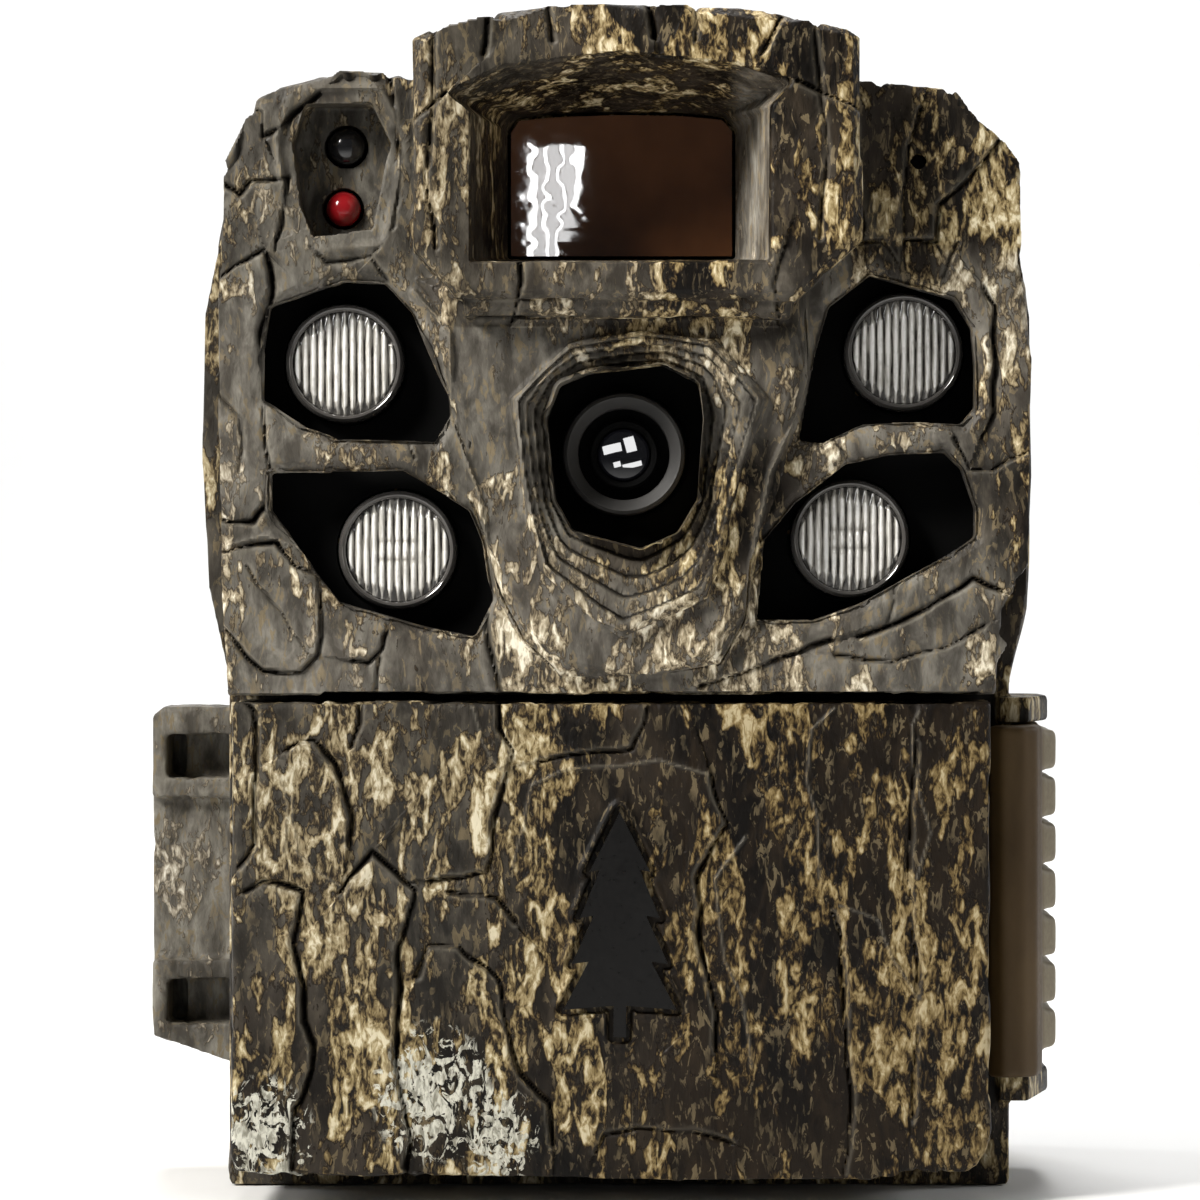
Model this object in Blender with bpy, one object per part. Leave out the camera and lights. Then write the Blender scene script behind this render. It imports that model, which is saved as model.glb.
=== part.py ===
"""Trail camera: a two-part housing with a hooded motion sensor, four lamps, a side-hinged door and a
pull-out battery tray.

Blender 4.5. Run with: blender --background --python part.py
Dimensions below are millimetres in the object's frame and become metres in the meshes.
X runs to the right seen from the front, -Y is the front, +Z is up, and z = 0 is the base it stands on.
An outline is a list of (x, z) corners, anticlockwise seen from the front.
"""

import math

import bmesh
import bpy
from mathutils import Matrix, Vector

MM = 0.001
GAP = 0.3                      # clearance between pieces that meet

# Driving dimensions
BASE_HALF = 38.6               # half width of the housing at the base
SPLIT_Y = -10.0                # plane where the rear housing meets the head and the door
BACK_Y = 29.0                  # outside of the housing's back wall
WALL = 2.4
HEAD_Z = 48.8                  # underside of the head
DOOR_TOP, DOOR_BOTTOM = 48.0, 2.2
DOOR_LEFT, DOOR_RIGHT = -37.2, 35.5
DOOR_FRONT, DOOR_BACK = -26.0, -11.0
FACE_Y = -26.0                 # main front face of the head
HOOD_FRONT = -33.0
HINGE_X, HINGE_Y, HINGE_R = -34.6, -13.6, 1.5
PIN_R = 0.8
LATCH_X, LATCH_Y, LATCH_R = 40.9, 5.6, 1.8
LATCH_LOW, LATCH_HIGH = 11.2, 45.4
EAR_THICK = 2.5
PANEL_FRONT, PANEL_BACK = -12.5, -9.0
PANEL_HALF, PANEL_LOW, PANEL_HIGH = 31.4, 5.5, 44.9
FASCIA_FRONT, FASCIA_BACK = -20.4, -18.9
BAY_HALF, BAY_FRONT, BAY_REAR, BAY_TOP = 22.7, -3.3, 26.7, 57.5
CELL_R, CELL_PITCH_X, CELL_LOW = 7.1, 14.6, 3.5
CELL_ROWS = (4.3, 19.1)
LAMP_R = 5.75

# Where things sit on the front, as (x, z)
LAMPS = {
    "upper_left": (-26.5, 80.6),
    "lower_left": (-21.4, 62.6),
    "upper_right": (27.4, 81.7),
    "lower_right": (22.2, 63.7),
}
LENS = (0.4, 71.8)
LIGHT_SENSOR, INDICATOR, MICROPHONE = (-26.4, 101.6), (-26.7, 95.6), (28.6, 99.8)
PIR = (0.3, 98.0)
BUTTONS = {
    "up": (16.0, 35.5),
    "down": (16.0, 22.5),
    "left": (9.5, 29.0),
    "right": (22.5, 29.0),
    "enter": (16.0, 29.0),
}
SWITCH = (16.0, 11.5)
TRIPOD_POINT = (0.0, 66.0)                 # socket in the back wall
SCREWS = [(-26.0, 57.8), (26.0, 57.8), (-26.0, 92.8), (26.0, 92.8)]
HOUSING_KNUCKLES = (15.0, 29.5)            # underside of each knuckle on the housing
DOOR_KNUCKLES = ((8.0, 14.5), (36.0, 42.5))
KNUCKLE_TALL = 6.0
SCREEN_BOX = (-29.0, 1.0, 17.0, 40.5)      # x from, x to, z from, z to
CARD_BOX = (-28.0, -2.5, 7.0, 12.8)

# Side wing: two pockets, each with a slot for strap webbing that doglegs behind the pocket's floor
WING_OUTLINE = [(-47.4, 46), (-47.4, 13.4), (-37.9, 10.4), (-37.9, 47), (-46.3, 47)]
WING_FRONT, WING_BACK = 3.0, 13.0
WING_STEP = (4.5, 21.2, 37.8)              # the middle's face is set back: y, z from, z to
POCKET_LEFT, POCKET_RIGHT = -45.9, -39.3
POCKETS = ((14.8, 19.3), (39.7, 44.2))     # z from, z to
POCKET_FLOOR, SLOT_FRONT, SLOT_REAR = 7.5, 9.4, 11.0
SLOT_RIGHT, EXIT_LEFT, EXIT_RIGHT = -44.3, -43.0, -39.8

HOUSING_OUTLINE = [
    (-38.6, 0), (38.6, 0), (38.6, 50), (40.2, 57), (40.8, 70), (40.6, 86), (39, 96), (35, 102.5), (30, 105),
    (-30, 105), (-35, 102.5), (-39, 96), (-41, 86), (-41.3, 72), (-40.6, 59), (-38.6, 50),
]
HEAD_OUTLINE = [
    (-37.8, HEAD_Z), (36, HEAD_Z), (36, 53.6), (36.7, 55.2), (36.4, 58.8), (38.8, 60.2), (39.4, 61.2),
    (39.2, 70), (39.4, 81), (38.8, 88.6), (37.5, 91.6), (38.5, 97.3), (38.6, 99.8), (37.2, 101.8),
    (31.5, 105.8), (31.2, 107), (25.4, 107.6), (24.6, 106.5), (-18, 106.5), (-21.2, 108.2), (-22.5, 107.4),
    (-26.8, 107.5), (-28.5, 107.9), (-33.5, 106.7), (-34.8, 105.7), (-34.8, 103.7), (-37, 99.3),
    (-38.2, 98.6), (-38.2, 90.2), (-38.5, 87), (-38.2, 60),
]
HEAD_INNER = [
    (-35.1, 51.5), (33.2, 51.5), (33.6, 58.8), (36.2, 62.5), (36.3, 88), (35.2, 96.4), (32.5, 100.9),
    (28.5, 103.1), (-28.5, 103.3), (-32.3, 101), (-35.1, 96.4), (-35.4, 88), (-35.3, 60),
]
HOUSING_MOUTH = [
    (-34.6, 61.6), (34.6, 61.6), (35.8, 66), (35.8, 88), (34.6, 95.6), (32, 100), (28, 102), (-28, 102.2),
    (-32, 100), (-34.4, 95.6), (-34.9, 88),
]
HOOD_OUTLINE = [
    (-15.5, 86.2), (16.5, 86.2), (22.8, 92), (22.8, 111), (21.6, 111.8), (19, 112.4), (18, 111.7), (17, 111.7),
    (16.2, 112.8), (14, 113.4), (7.5, 113.9), (6.8, 113.2), (3.4, 113.2), (2.6, 114.1), (-3, 114.1),
    (-6.8, 113.8), (-11.4, 113.1), (-12.3, 112.1), (-16.8, 111), (-18, 111.6), (-19.6, 110.8), (-19.6, 91),
]
NOSE_OUTLINE = [
    (-5.6, 50.6), (3, 50.6), (9.6, 51.6), (12, 55.9), (12.5, 61.6), (14.4, 70.2), (16.7, 74.5),
    (18.1, 78.9),
    (17.5, 89), (-19.5, 88.5), (-16, 83.2), (-16.2, 75.6), (-13.4, 68.2), (-12.6, 63.2),
    (-11.5, 58.4), (-9, 53.7),
]
RING_OUTLINE = [
    (0.1, 54), (8.5, 57.9), (9.9, 61.6), (11.3, 69.2), (14.2, 77), (9.1, 82.6), (2, 83.6), (-5, 82.3),
    (-10.4, 77), (-9.4, 69.2), (-7.8, 60.6), (-2.6, 55.9),
]
RING_HOLE = [
    (2, 62.8), (5.5, 64.3), (7.4, 67.5), (8, 75.1), (7.5, 78.6), (4.1, 80.3), (-2.8, 79.5), (-5.7, 78.3),
    (-6.9, 75.1), (-6.1, 67.4), (-4.5, 64.5),
]
BROW_OUTLINE = [(-14.8, 84.6), (16, 84.6), (17.4, 90.6), (-15.4, 90.6)]
TUNNEL_FRONT = [
    (-14.4, 89.7), (-14.4, 104), (-16.6, 105.8), (-11.2, 108.4), (0, 109.7), (11.4, 108.6), (16.6, 106.9),
    (14.4, 104.4), (14.4, 89.7),
][::-1]
TUNNEL_REAR = [
    (-11, 91), (-11, 103.6), (-10, 105), (-6, 105.4), (0, 105.6), (6, 105.5), (10.2, 105.1),
    (11.4, 103.8), (11.4, 91),
][::-1]
LAMP_OPENINGS = {
    "upper_left": [
        (-34.2, 76.9), (-30, 74.2), (-26.9, 73.2), (-17.7, 73), (-16.3, 75.5), (-16.5, 77.4), (-19.9, 85.4),
        (-22.5, 88.2), (-26.4, 88.4), (-33.5, 85.9), (-34.3, 81),
    ],
    "lower_left": [
        (-33.6, 66.4), (-30.7, 62.5), (-26.9, 57.6), (-19.2, 55.4), (-13.9, 54.3), (-12.2, 57.8),
        (-13, 63.3),
        (-14.3, 66.4), (-20.8, 70.2), (-33.5, 70.1),
    ],
    "upper_right": [
        (17.2, 73.1), (19.4, 72.9), (23.4, 74.7), (28.6, 74.9), (32.7, 74.7), (34, 76.2), (34, 80.3),
        (33.7, 83.9), (32, 86.6), (24, 88.9), (20.1, 85.9), (18.8, 81.5),
    ],
    "lower_right": [
        (13.2, 55.9), (18.5, 55.9), (23.1, 57.5), (31.6, 62.2), (34, 63.8), (34, 66.6), (32.7, 70.4),
        (31.1, 71.9), (25.9, 71.7), (21.7, 70.8), (16.9, 67.1), (13.9, 63.5),
    ],
}
SENSOR_RECESS = [
    (-29.4, 92.6), (-23.6, 93.2), (-21.9, 101.6), (-23.8, 105.4), (-30.2, 105.4), (-31.4, 101.8),
    (-30.6, 95.6),
]
FASCIA_OUTLINE = [
    (-34.6, 52.2), (32.6, 52.2), (32.6, 58.5), (35.2, 61.9), (35.2, 90.3), (16.4, 90.3),
    (16.4, 86), (-16, 86),
    (-16, 90.3), (-34.8, 90.3),
]

EMBLEM = [
    (-0.6, 16), (0.6, 16), (0.6, 19), (5.4, 18.6), (3.0, 23.2), (4.6, 23), (2.5, 27.6),
    (3.8, 27.4), (1.9, 32),
    (2.9, 31.8), (0, 37.5), (-2.9, 31.8), (-1.9, 32), (-3.8, 27.4), (-2.5, 27.6), (-4.6, 23), (-3.0, 23.2),
    (-5.4, 18.6), (-0.6, 19),
]

COLOURS = {                     # linear RGB, roughness, metallic
    "bark": ((0.075, 0.062, 0.048), 0.75, 0.0),
    "black_plastic": ((0.012, 0.012, 0.012), 0.5, 0.0),
    "soft_black": ((0.02, 0.02, 0.02), 0.8, 0.0),
    "tan": ((0.125, 0.092, 0.05), 0.55, 0.0),
    "glass": ((0.75, 0.75, 0.75), 0.1, 0.0),
    "amber": ((0.05, 0.018, 0.008), 0.3, 0.0),
    "red": ((0.35, 0.012, 0.015), 0.25, 0.0),
    "chrome": ((0.8, 0.8, 0.8), 0.15, 1.0),
    "board": ((0.02, 0.11, 0.04), 0.5, 0.0),
    "steel": ((0.5, 0.5, 0.5), 0.35, 1.0),
    "brass": ((0.6, 0.42, 0.15), 0.35, 1.0),
    "grey": ((0.25, 0.25, 0.25), 0.6, 0.0),
    "cell": ((0.03, 0.06, 0.1), 0.35, 0.3),
}


# ---------------------------------------------------------------- shape helpers

def clear_scene():
    for obj in list(bpy.data.objects):
        bpy.data.objects.remove(obj, do_unlink=True)


def material(name):
    found = bpy.data.materials.get(name)
    if found:
        return found
    colour, roughness, metallic = COLOURS[name]
    made = bpy.data.materials.new(name)
    made.use_nodes = True
    shader = made.node_tree.nodes["Principled BSDF"]
    shader.inputs["Base Color"].default_value = (*colour, 1.0)
    shader.inputs["Roughness"].default_value = roughness
    shader.inputs["Metallic"].default_value = metallic
    return made


def finish(bm, name, colour=None, origin=(0, 0, 0)):
    """Turns a bmesh in millimetres into an object in metres with its origin at a point. No colour cuts."""
    bmesh.ops.recalc_face_normals(bm, faces=bm.faces)
    shift = Matrix.Translation(-Vector(origin))
    bmesh.ops.transform(bm, matrix=Matrix.Scale(MM, 4) @ shift, verts=bm.verts)
    mesh = bpy.data.meshes.new(name)
    bm.to_mesh(mesh)
    bm.free()
    obj = bpy.data.objects.new(name, mesh)
    obj.location = Vector(origin) * MM
    bpy.context.scene.collection.objects.link(obj)
    if colour:
        mesh.materials.append(material(colour))
    else:
        obj.hide_render = True
        obj.display_type = "WIRE"
    return obj


def add_prism(bm, outline, y_front, y_back, rear_outline=None):
    """A solid between an (x, z) outline at the front plane and one at the back plane."""
    front = [bm.verts.new((x, y_front, z)) for x, z in outline]
    back = [bm.verts.new((x, y_back, z)) for x, z in (rear_outline or outline)]
    count = len(outline)
    faces = [bm.faces.new(front), bm.faces.new(back[::-1])]
    for i in range(count):
        j = (i + 1) % count
        faces.append(bm.faces.new((front[i], back[i], back[j], front[j])))
    return faces


def add_plan(bm, outline, z_low, z_high):
    """A solid standing on an (x, y) outline, anticlockwise seen from above."""
    low = [bm.verts.new((x, y, z_low)) for x, y in outline]
    high = [bm.verts.new((x, y, z_high)) for x, y in outline]
    count = len(outline)
    bm.faces.new(low[::-1])
    bm.faces.new(high)
    for i in range(count):
        j = (i + 1) % count
        bm.faces.new((low[i], low[j], high[j], high[i]))


def add_box(bm, x0, x1, y0, y1, z0, z1):
    add_plan(bm, [(x0, y0), (x1, y0), (x1, y1), (x0, y1)], z0, z1)


def add_turned(bm, centre, profile, steps, axis="Y"):
    """A closed round solid: (radius, height) corners spun about an axis. Radius 0 closes an end."""
    rings = []
    for radius, height in profile:
        if radius == 0:
            rings.append([bm.verts.new((0, 0, height))])
            continue
        turn = [2 * math.pi * i / steps for i in range(steps)]
        rings.append([bm.verts.new((radius * math.cos(a), radius * math.sin(a), height)) for a in turn])
    pairs = list(zip(rings, rings[1:]))
    if len(rings[0]) > 1:
        pairs.append((rings[-1], rings[0]))
    for low, high in pairs:
        for i in range(steps):
            j = (i + 1) % steps
            corners = [low[i % len(low)], low[j % len(low)], high[j % len(high)], high[i % len(high)]]
            bm.faces.new(list(dict.fromkeys(corners)))
    turned = {"Y": Matrix.Rotation(math.pi / 2, 4, "X"), "Z": Matrix.Identity(4)}[axis]
    verts = [v for ring in rings for v in ring]
    bmesh.ops.transform(bm, matrix=Matrix.Translation(centre) @ turned, verts=verts)


def solid(name, colour, *adders, origin=(0, 0, 0)):
    """One object from shape-adding calls, each given as (function, arguments...)."""
    bm = bmesh.new()
    for add, *arguments in adders:
        add(bm, *arguments)
    return finish(bm, name, colour, origin)


def disc_adder(centre, radius, y_front, y_back, steps=24):
    """A plain round plug along Y."""
    x, z = centre
    profile = [(0, -y_back), (radius, -y_back), (radius, -y_front), (0, -y_front)]
    return (add_turned, (x, 0, z), profile, steps)


def bevel_front(bm, faces, width, segments=1):
    """Bevels the edges around the front face of a prism."""
    bmesh.ops.bevel(
        bm, geom=list(faces[0].edges), offset=width, segments=segments, affect="EDGES", profile=0.6,
        clamp_overlap=True,
    )


def boolean(obj, other, operation="DIFFERENCE"):
    modifier = obj.modifiers.new(f"{operation.lower()} {other.name}", "BOOLEAN")
    modifier.object = other
    modifier.operation = operation


def cut(obj, *adders):
    """Cuts shapes out of an object, one cutter each."""
    for number, adder in enumerate(adders):
        boolean(obj, solid(f"{obj.name}_cut_{len(obj.modifiers)}_{number}", None, adder))


def join(obj, *adders):
    """Joins shapes to an object by union."""
    for number, adder in enumerate(adders):
        boolean(obj, solid(f"{obj.name}_add_{len(obj.modifiers)}_{number}", None, adder), "UNION")


def grown(outline, by):
    """The outline with each corner moved out from its edges by a distance, or in if negative."""
    moved = []
    count = len(outline)
    for i in range(count):
        before, here, after = (Vector(outline[(i + k) % count]) for k in (-1, 0, 1))
        edge_in, edge_out = (here - before).normalized(), (after - here).normalized()
        normal_in = Vector((edge_in.y, -edge_in.x))
        normal_out = Vector((edge_out.y, -edge_out.x))
        middle = (normal_in + normal_out).normalized()
        reach = by / max(middle.dot(normal_in), 0.5)
        moved.append(tuple(here + middle * reach))
    return moved


def bevelled_prism(name, outline, y_front, y_back, width, colour=None, segments=1):
    bm = bmesh.new()
    faces = add_prism(bm, outline, y_front, y_back)
    bevel_front(bm, faces, width, segments)
    return finish(bm, name, colour)


# ---------------------------------------------------------------- housing

def rear_housing():
    """The deep rear shell: battery bay from below, space for the boards, side wing and latch ears."""
    bm = bmesh.new()
    faces = add_prism(bm, [(-x, z) for x, z in HOUSING_OUTLINE][::-1], -BACK_Y, -SPLIT_Y)
    bevel_front(bm, faces, 3.0, 2)
    bmesh.ops.rotate(bm, matrix=Matrix.Rotation(math.pi, 3, "Z"), verts=bm.verts)
    body = finish(bm, "rear_housing", "bark")

    cavity_front = SPLIT_Y - 1
    cut(
        body,
        (add_box, -31.7, 31.7, cavity_front, -5.2, PANEL_LOW - GAP, PANEL_HIGH + GAP),
        (add_box, -36, -24.9, -7.4, 26.2, 3.4, 55),
        (add_box, 24.9, 36, -7.4, 26.2, 3.4, 55),
        (add_prism, HOUSING_MOUTH, cavity_front, -5.5),
        (add_prism, grown([p for p in HOUSING_OUTLINE if p[1] > 55], -WALL), -6, 26.4),
        (add_box, -BAY_HALF, BAY_HALF, BAY_FRONT, BAY_REAR, -1, BAY_TOP),
    )
    join(
        body,
        (add_prism, WING_OUTLINE, WING_FRONT, WING_BACK),
        (add_plan, ear_plan(), LATCH_HIGH + GAP, LATCH_HIGH + GAP + EAR_THICK),
        (add_plan, ear_plan(), LATCH_LOW - GAP - EAR_THICK, LATCH_LOW - GAP),
    )
    step_y, step_low, step_high = WING_STEP
    cut(
        body,
        (add_box, -50, POCKET_RIGHT, 1, step_y, step_low, step_high),
        (add_turned, (LATCH_X, LATCH_Y, 0), pin_profile(PIN_R + GAP, 5, 52), 16, "Z"),
    )
    for low, high in POCKETS:
        cut(
            body,
            (add_box, POCKET_LEFT, POCKET_RIGHT, 1, POCKET_FLOOR, low, high),
            (add_box, POCKET_LEFT, SLOT_RIGHT, POCKET_FLOOR - 1, SLOT_REAR, low, high),
            (add_box, POCKET_LEFT, EXIT_RIGHT, SLOT_FRONT, SLOT_REAR, low, high),
            (add_box, EXIT_LEFT, EXIT_RIGHT, SLOT_REAR - 1, WING_BACK + 2, low, high),
        )
    for z_low in HOUSING_KNUCKLES:
        join(body, (add_plan, knuckle_plan(SPLIT_Y + 1.5), z_low, z_low + KNUCKLE_TALL))
    cut(body, (add_turned, (HINGE_X, HINGE_Y, 0), pin_profile(PIN_R + GAP, 3, 47), 16, "Z"))
    join(body, disc_adder(TRIPOD_POINT, 6.5, 19, 27.5))
    cut(body, disc_adder(TRIPOD_POINT, 4.2 + GAP, 21.5, 30))
    for x, z in SCREWS:
        cut(body, disc_adder((x, z), 1.2 + GAP, 25, 30, 12))
    return body


def ear_plan():
    return [(37.6, -12), (40.4, -12), (43.2, -1), (43.2, 8), (41.5, 10), (37.6, 10)]


def knuckle_plan(back):
    """Plan of one hinge knuckle on the housing side: a round eye with an arm running back to the rim."""
    turn = [math.radians(a) for a in range(180, 361, 20)]
    eye = [(HINGE_X + HINGE_R * math.cos(a), HINGE_Y + HINGE_R * math.sin(a)) for a in turn]
    return eye + [(HINGE_X + HINGE_R, back), (HINGE_X - HINGE_R, back)]


def pin_profile(radius, z_low, z_high):
    return [(0, z_low), (radius, z_low), (radius, z_high), (0, z_high)]


def head_shell():
    """The front shell of the head: bark face, sensor hood, brow, lens nose, lamp openings and recess."""
    shell = bevelled_prism("head_shell", HEAD_OUTLINE, FACE_Y, SPLIT_Y - 0.7, 2.6, "bark", 2)
    hood = bevelled_prism("hood_block", HOOD_OUTLINE, HOOD_FRONT, SPLIT_Y - 0.7, 0.8)
    nose = bevelled_prism("nose_block", NOSE_OUTLINE, FACE_Y - 2.2, FACE_Y + 3, 1.4)
    ring = bevelled_prism("ring_block", RING_OUTLINE, FACE_Y - 3.6, FACE_Y + 3, 0.8)
    brow = bevelled_prism("brow_block", BROW_OUTLINE, HOOD_FRONT + 1.4, FACE_Y + 3, 0.9)
    for block in (hood, nose, ring, brow):
        boolean(shell, block, "UNION")

    hollow = solid("head_hollow", None, (add_prism, HEAD_INNER, FACE_Y + 2.6, SPLIT_Y + 1))
    tunnel_skin = solid(
        "tunnel_skin", None,
        (add_prism, grown(TUNNEL_FRONT, 1.8), HOOD_FRONT - 2, -15.2, grown(TUNNEL_REAR, 1.8)),
    )
    recess_skin = solid("recess_skin", None, (add_prism, grown(SENSOR_RECESS, 1.6), FACE_Y - 4, -19.3))
    boolean(hollow, tunnel_skin)
    boolean(hollow, recess_skin)
    boolean(shell, hollow)

    cut(
        shell,
        (add_prism, TUNNEL_FRONT, HOOD_FRONT - 0.5, -16.6, TUNNEL_REAR),
        (add_prism, grown(TUNNEL_REAR, -0.05), -17.5, -14),
        (add_prism, RING_HOLE, FACE_Y - 6, FACE_Y + 5),
        (add_prism, SENSOR_RECESS, FACE_Y - 2, -21.4),
        disc_adder(LIGHT_SENSOR, 2.1, -23, -17),
        disc_adder(INDICATOR, 2.0, -23, -17),
        disc_adder(MICROPHONE, 0.7, -28, -21, 12),
    )
    for outline in LAMP_OPENINGS.values():
        cut(shell, (add_prism, outline, FACE_Y - 4, FACE_Y + 4))


def gaskets():
    """Flat seals between the rim of the housing and the head, and round the control panel."""
    ring = solid(
        "head_gasket", "soft_black", (add_prism, grown(HEAD_INNER, 1.5), SPLIT_Y - 0.55, SPLIT_Y - 0.15)
    )
    cut(ring, (add_prism, grown(HEAD_INNER, 0.3), SPLIT_Y - 1, SPLIT_Y + 1))
    edge, inner = PANEL_HALF + 1.4, PANEL_HALF + 0.4
    low, high = PANEL_LOW - 1.8, PANEL_HIGH + 1.8
    seal = solid(
        "door_gasket", "soft_black", (add_box, -edge, edge, SPLIT_Y - 0.75, SPLIT_Y - 0.3, low, high)
    )
    cut(seal, (add_box, -inner, inner, -13, -9, PANEL_LOW - 0.5, PANEL_HIGH + 0.5))


def rear_bracket():
    """The bracket that bites the tree: a plate with two strap bridges, each a bar on two posts."""
    plate = solid("tree_bracket", "bark", (add_box, -29, 29, BACK_Y + GAP, BACK_Y + 2, 54, 96.5))
    for side in (-1, 1):
        x0, x1 = sorted((side * 12.0, side * 20.0))
        join(plate, (add_prism, [(x0, 58), (x1, 58), (x1, 94), (x0, 94)], BACK_Y + 1, BACK_Y + 8.6))
        cut(plate, (add_box, x0 - 3, x1 + 3, BACK_Y + 2, BACK_Y + 6.5, 62, 90))
        for step in range(6):
            z = 60.0 + 6.4 * step
            join(plate, (add_wedge, x0 + 0.6, x1 - 0.6, BACK_Y + 8.2, BACK_Y + 10, z - 1.4, z + 1.4))
    cut(plate, disc_adder(TRIPOD_POINT, 5.6, BACK_Y - 1, BACK_Y + 4))
    for x, z in SCREWS:
        cut(plate, disc_adder((x, z), 1.2 + GAP, BACK_Y - 2, BACK_Y + 4, 12))
    for number, (x, z) in enumerate(SCREWS, 1):
        shaft, head = 1.2, 2.2
        profile = [(0, -BACK_Y - 3.2), (head, -BACK_Y - 3.2), (head, -BACK_Y - 2.3), (shaft, -BACK_Y - 2.3),
                   (shaft, -26.6), (0, -26.6)]
        solid(f"bracket_screw_{number}", "steel", (add_turned, (x, 0, z), profile, 12))


def add_wedge(bm, x0, x1, y_base, y_tip, z0, z1):
    """A tooth: a triangular ridge along X that points back."""
    middle = (z0 + z1) / 2
    corners = [(y_base, z0), (y_tip, middle), (y_base, z1)]
    left = [bm.verts.new((x0, y, z)) for y, z in corners]
    right = [bm.verts.new((x1, y, z)) for y, z in corners]
    bm.faces.new(left)
    bm.faces.new(right[::-1])
    for i in range(3):
        j = (i + 1) % 3
        bm.faces.new((left[i], right[i], right[j], left[j]))


def tripod_insert():
    x, z = TRIPOD_POINT
    profile = [(0, -21.8), (4.2, -21.8), (4.2, -BACK_Y), (3.2, -BACK_Y), (3.2, -22.6), (0, -22.6)]
    solid("tripod_insert", "brass", (add_turned, (x, 0, z), profile, 24))


# ---------------------------------------------------------------- head internals

def fascia():
    """The black plate behind the bark face, with a round hole for each lamp and for the lens."""
    plate = solid("inner_fascia", "black_plastic", (add_prism, FASCIA_OUTLINE, FASCIA_FRONT, FASCIA_BACK))
    for centre in LAMPS.values():
        cut(plate, disc_adder(centre, LAMP_R + GAP, FASCIA_FRONT - 1, FASCIA_BACK + 1, 32))
    cut(plate, disc_adder(LENS, 7.2, FASCIA_FRONT - 1, FASCIA_BACK + 1, 32))


def lamps():
    for name, (x, z) in LAMPS.items():
        edge = LAMP_R - 0.5
        lens = [(0, 18.9), (LAMP_R, 18.9), (LAMP_R, 21.4), (edge, 21.6), (edge, 22.2), (3.4, 22.9), (0, 23.2)]
        solid(f"lamp_lens_{name}", "glass", (add_turned, (x, 0, z), lens, 32))
        cup = [(1.6, 13.4), (3.4, 13.4), (5.4, 18.5), (4.9, 18.5), (2.9, 14.0), (1.6, 14.0)]
        solid(f"lamp_reflector_{name}", "chrome", (add_turned, (x, 0, z), cup, 24))
        chip = [(-0.9, -0.9), (0.9, -0.9), (0.9, 0.9), (-0.9, 0.9)]
        solid(f"lamp_led_{name}", "glass", (add_prism, [(x + u, z + w) for u, w in chip], -14.6, -13.0))
    for name, x0, x1 in (("left", -32.5, -14.0), ("right", 14.5, 33.0)):
        solid(f"lamp_board_{name}", "board", (add_box, x0, x1, -12.7, -11.5, 55.5, 88.0))


def lens_group():
    x, z = LENS
    shroud = solid("lens_shroud", "black_plastic", disc_adder(LENS, 10.4, -22.4, FASCIA_FRONT - GAP, 40))
    cut(shroud, disc_adder(LENS, 6.3, -24, -19, 40))
    barrel = [(2.9, 13.2), (5.0, 13.2), (5.0, 19.4), (5.9, 20.2), (5.9, 25.4), (5.5, 25.6), (4.3, 23.6),
              (4.1, 23.6), (2.9, 22.4)]
    solid("lens_barrel", "black_plastic", (add_turned, (x, 0, z), barrel, 40))
    glass = [(0, 19.5), (2.6, 19.5), (2.6, 22.0), (1.9, 22.7), (1.0, 23.1), (0, 23.2)]
    solid("objective_lens", "glass", (add_turned, (x, 0, z), glass, 32))
    solid("camera_board", "board", (add_box, x - 9, x + 9, -11.2, -10.1, z - 9, z + 9))
    solid("image_sensor", "black_plastic", (add_box, x - 2.6, x + 2.6, -12.6, -11.5, z - 2.0, z + 2.0))


def sensors():
    solid("pir_window", "amber", (add_prism, grown(TUNNEL_REAR, -0.4), -16.2, -15.2))
    x, z = PIR
    can = [(0, 1.2), (4.1, 1.2), (4.6, 1.2), (4.6, 1.8), (4.1, 1.8), (4.1, 5.4), (0, 5.4)]
    solid("pir_sensor", "steel", (add_turned, (x, 0, z), can, 24))
    for name, (x, z), radius, colour in (
        ("light_sensor", LIGHT_SENSOR, 1.8, "black_plastic"),
        ("indicator_lens", INDICATOR, 1.7, "red"),
    ):
        dome = [
            (0, 17.8), (radius, 17.8), (radius, 21.6), (radius * 0.8, 22.3), (radius * 0.45, 22.7), (0, 22.8),
        ]
        solid(name, colour, (add_turned, (x, 0, z), dome, 24))
    solid("microphone", "black_plastic", disc_adder(MICROPHONE, 2.2, -22.9, -20.8, 16))
    solid("main_board", "board", (add_box, -33, 33, -0.9, 0.5, 62.5, 99.5))


# ---------------------------------------------------------------- control panel

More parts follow.
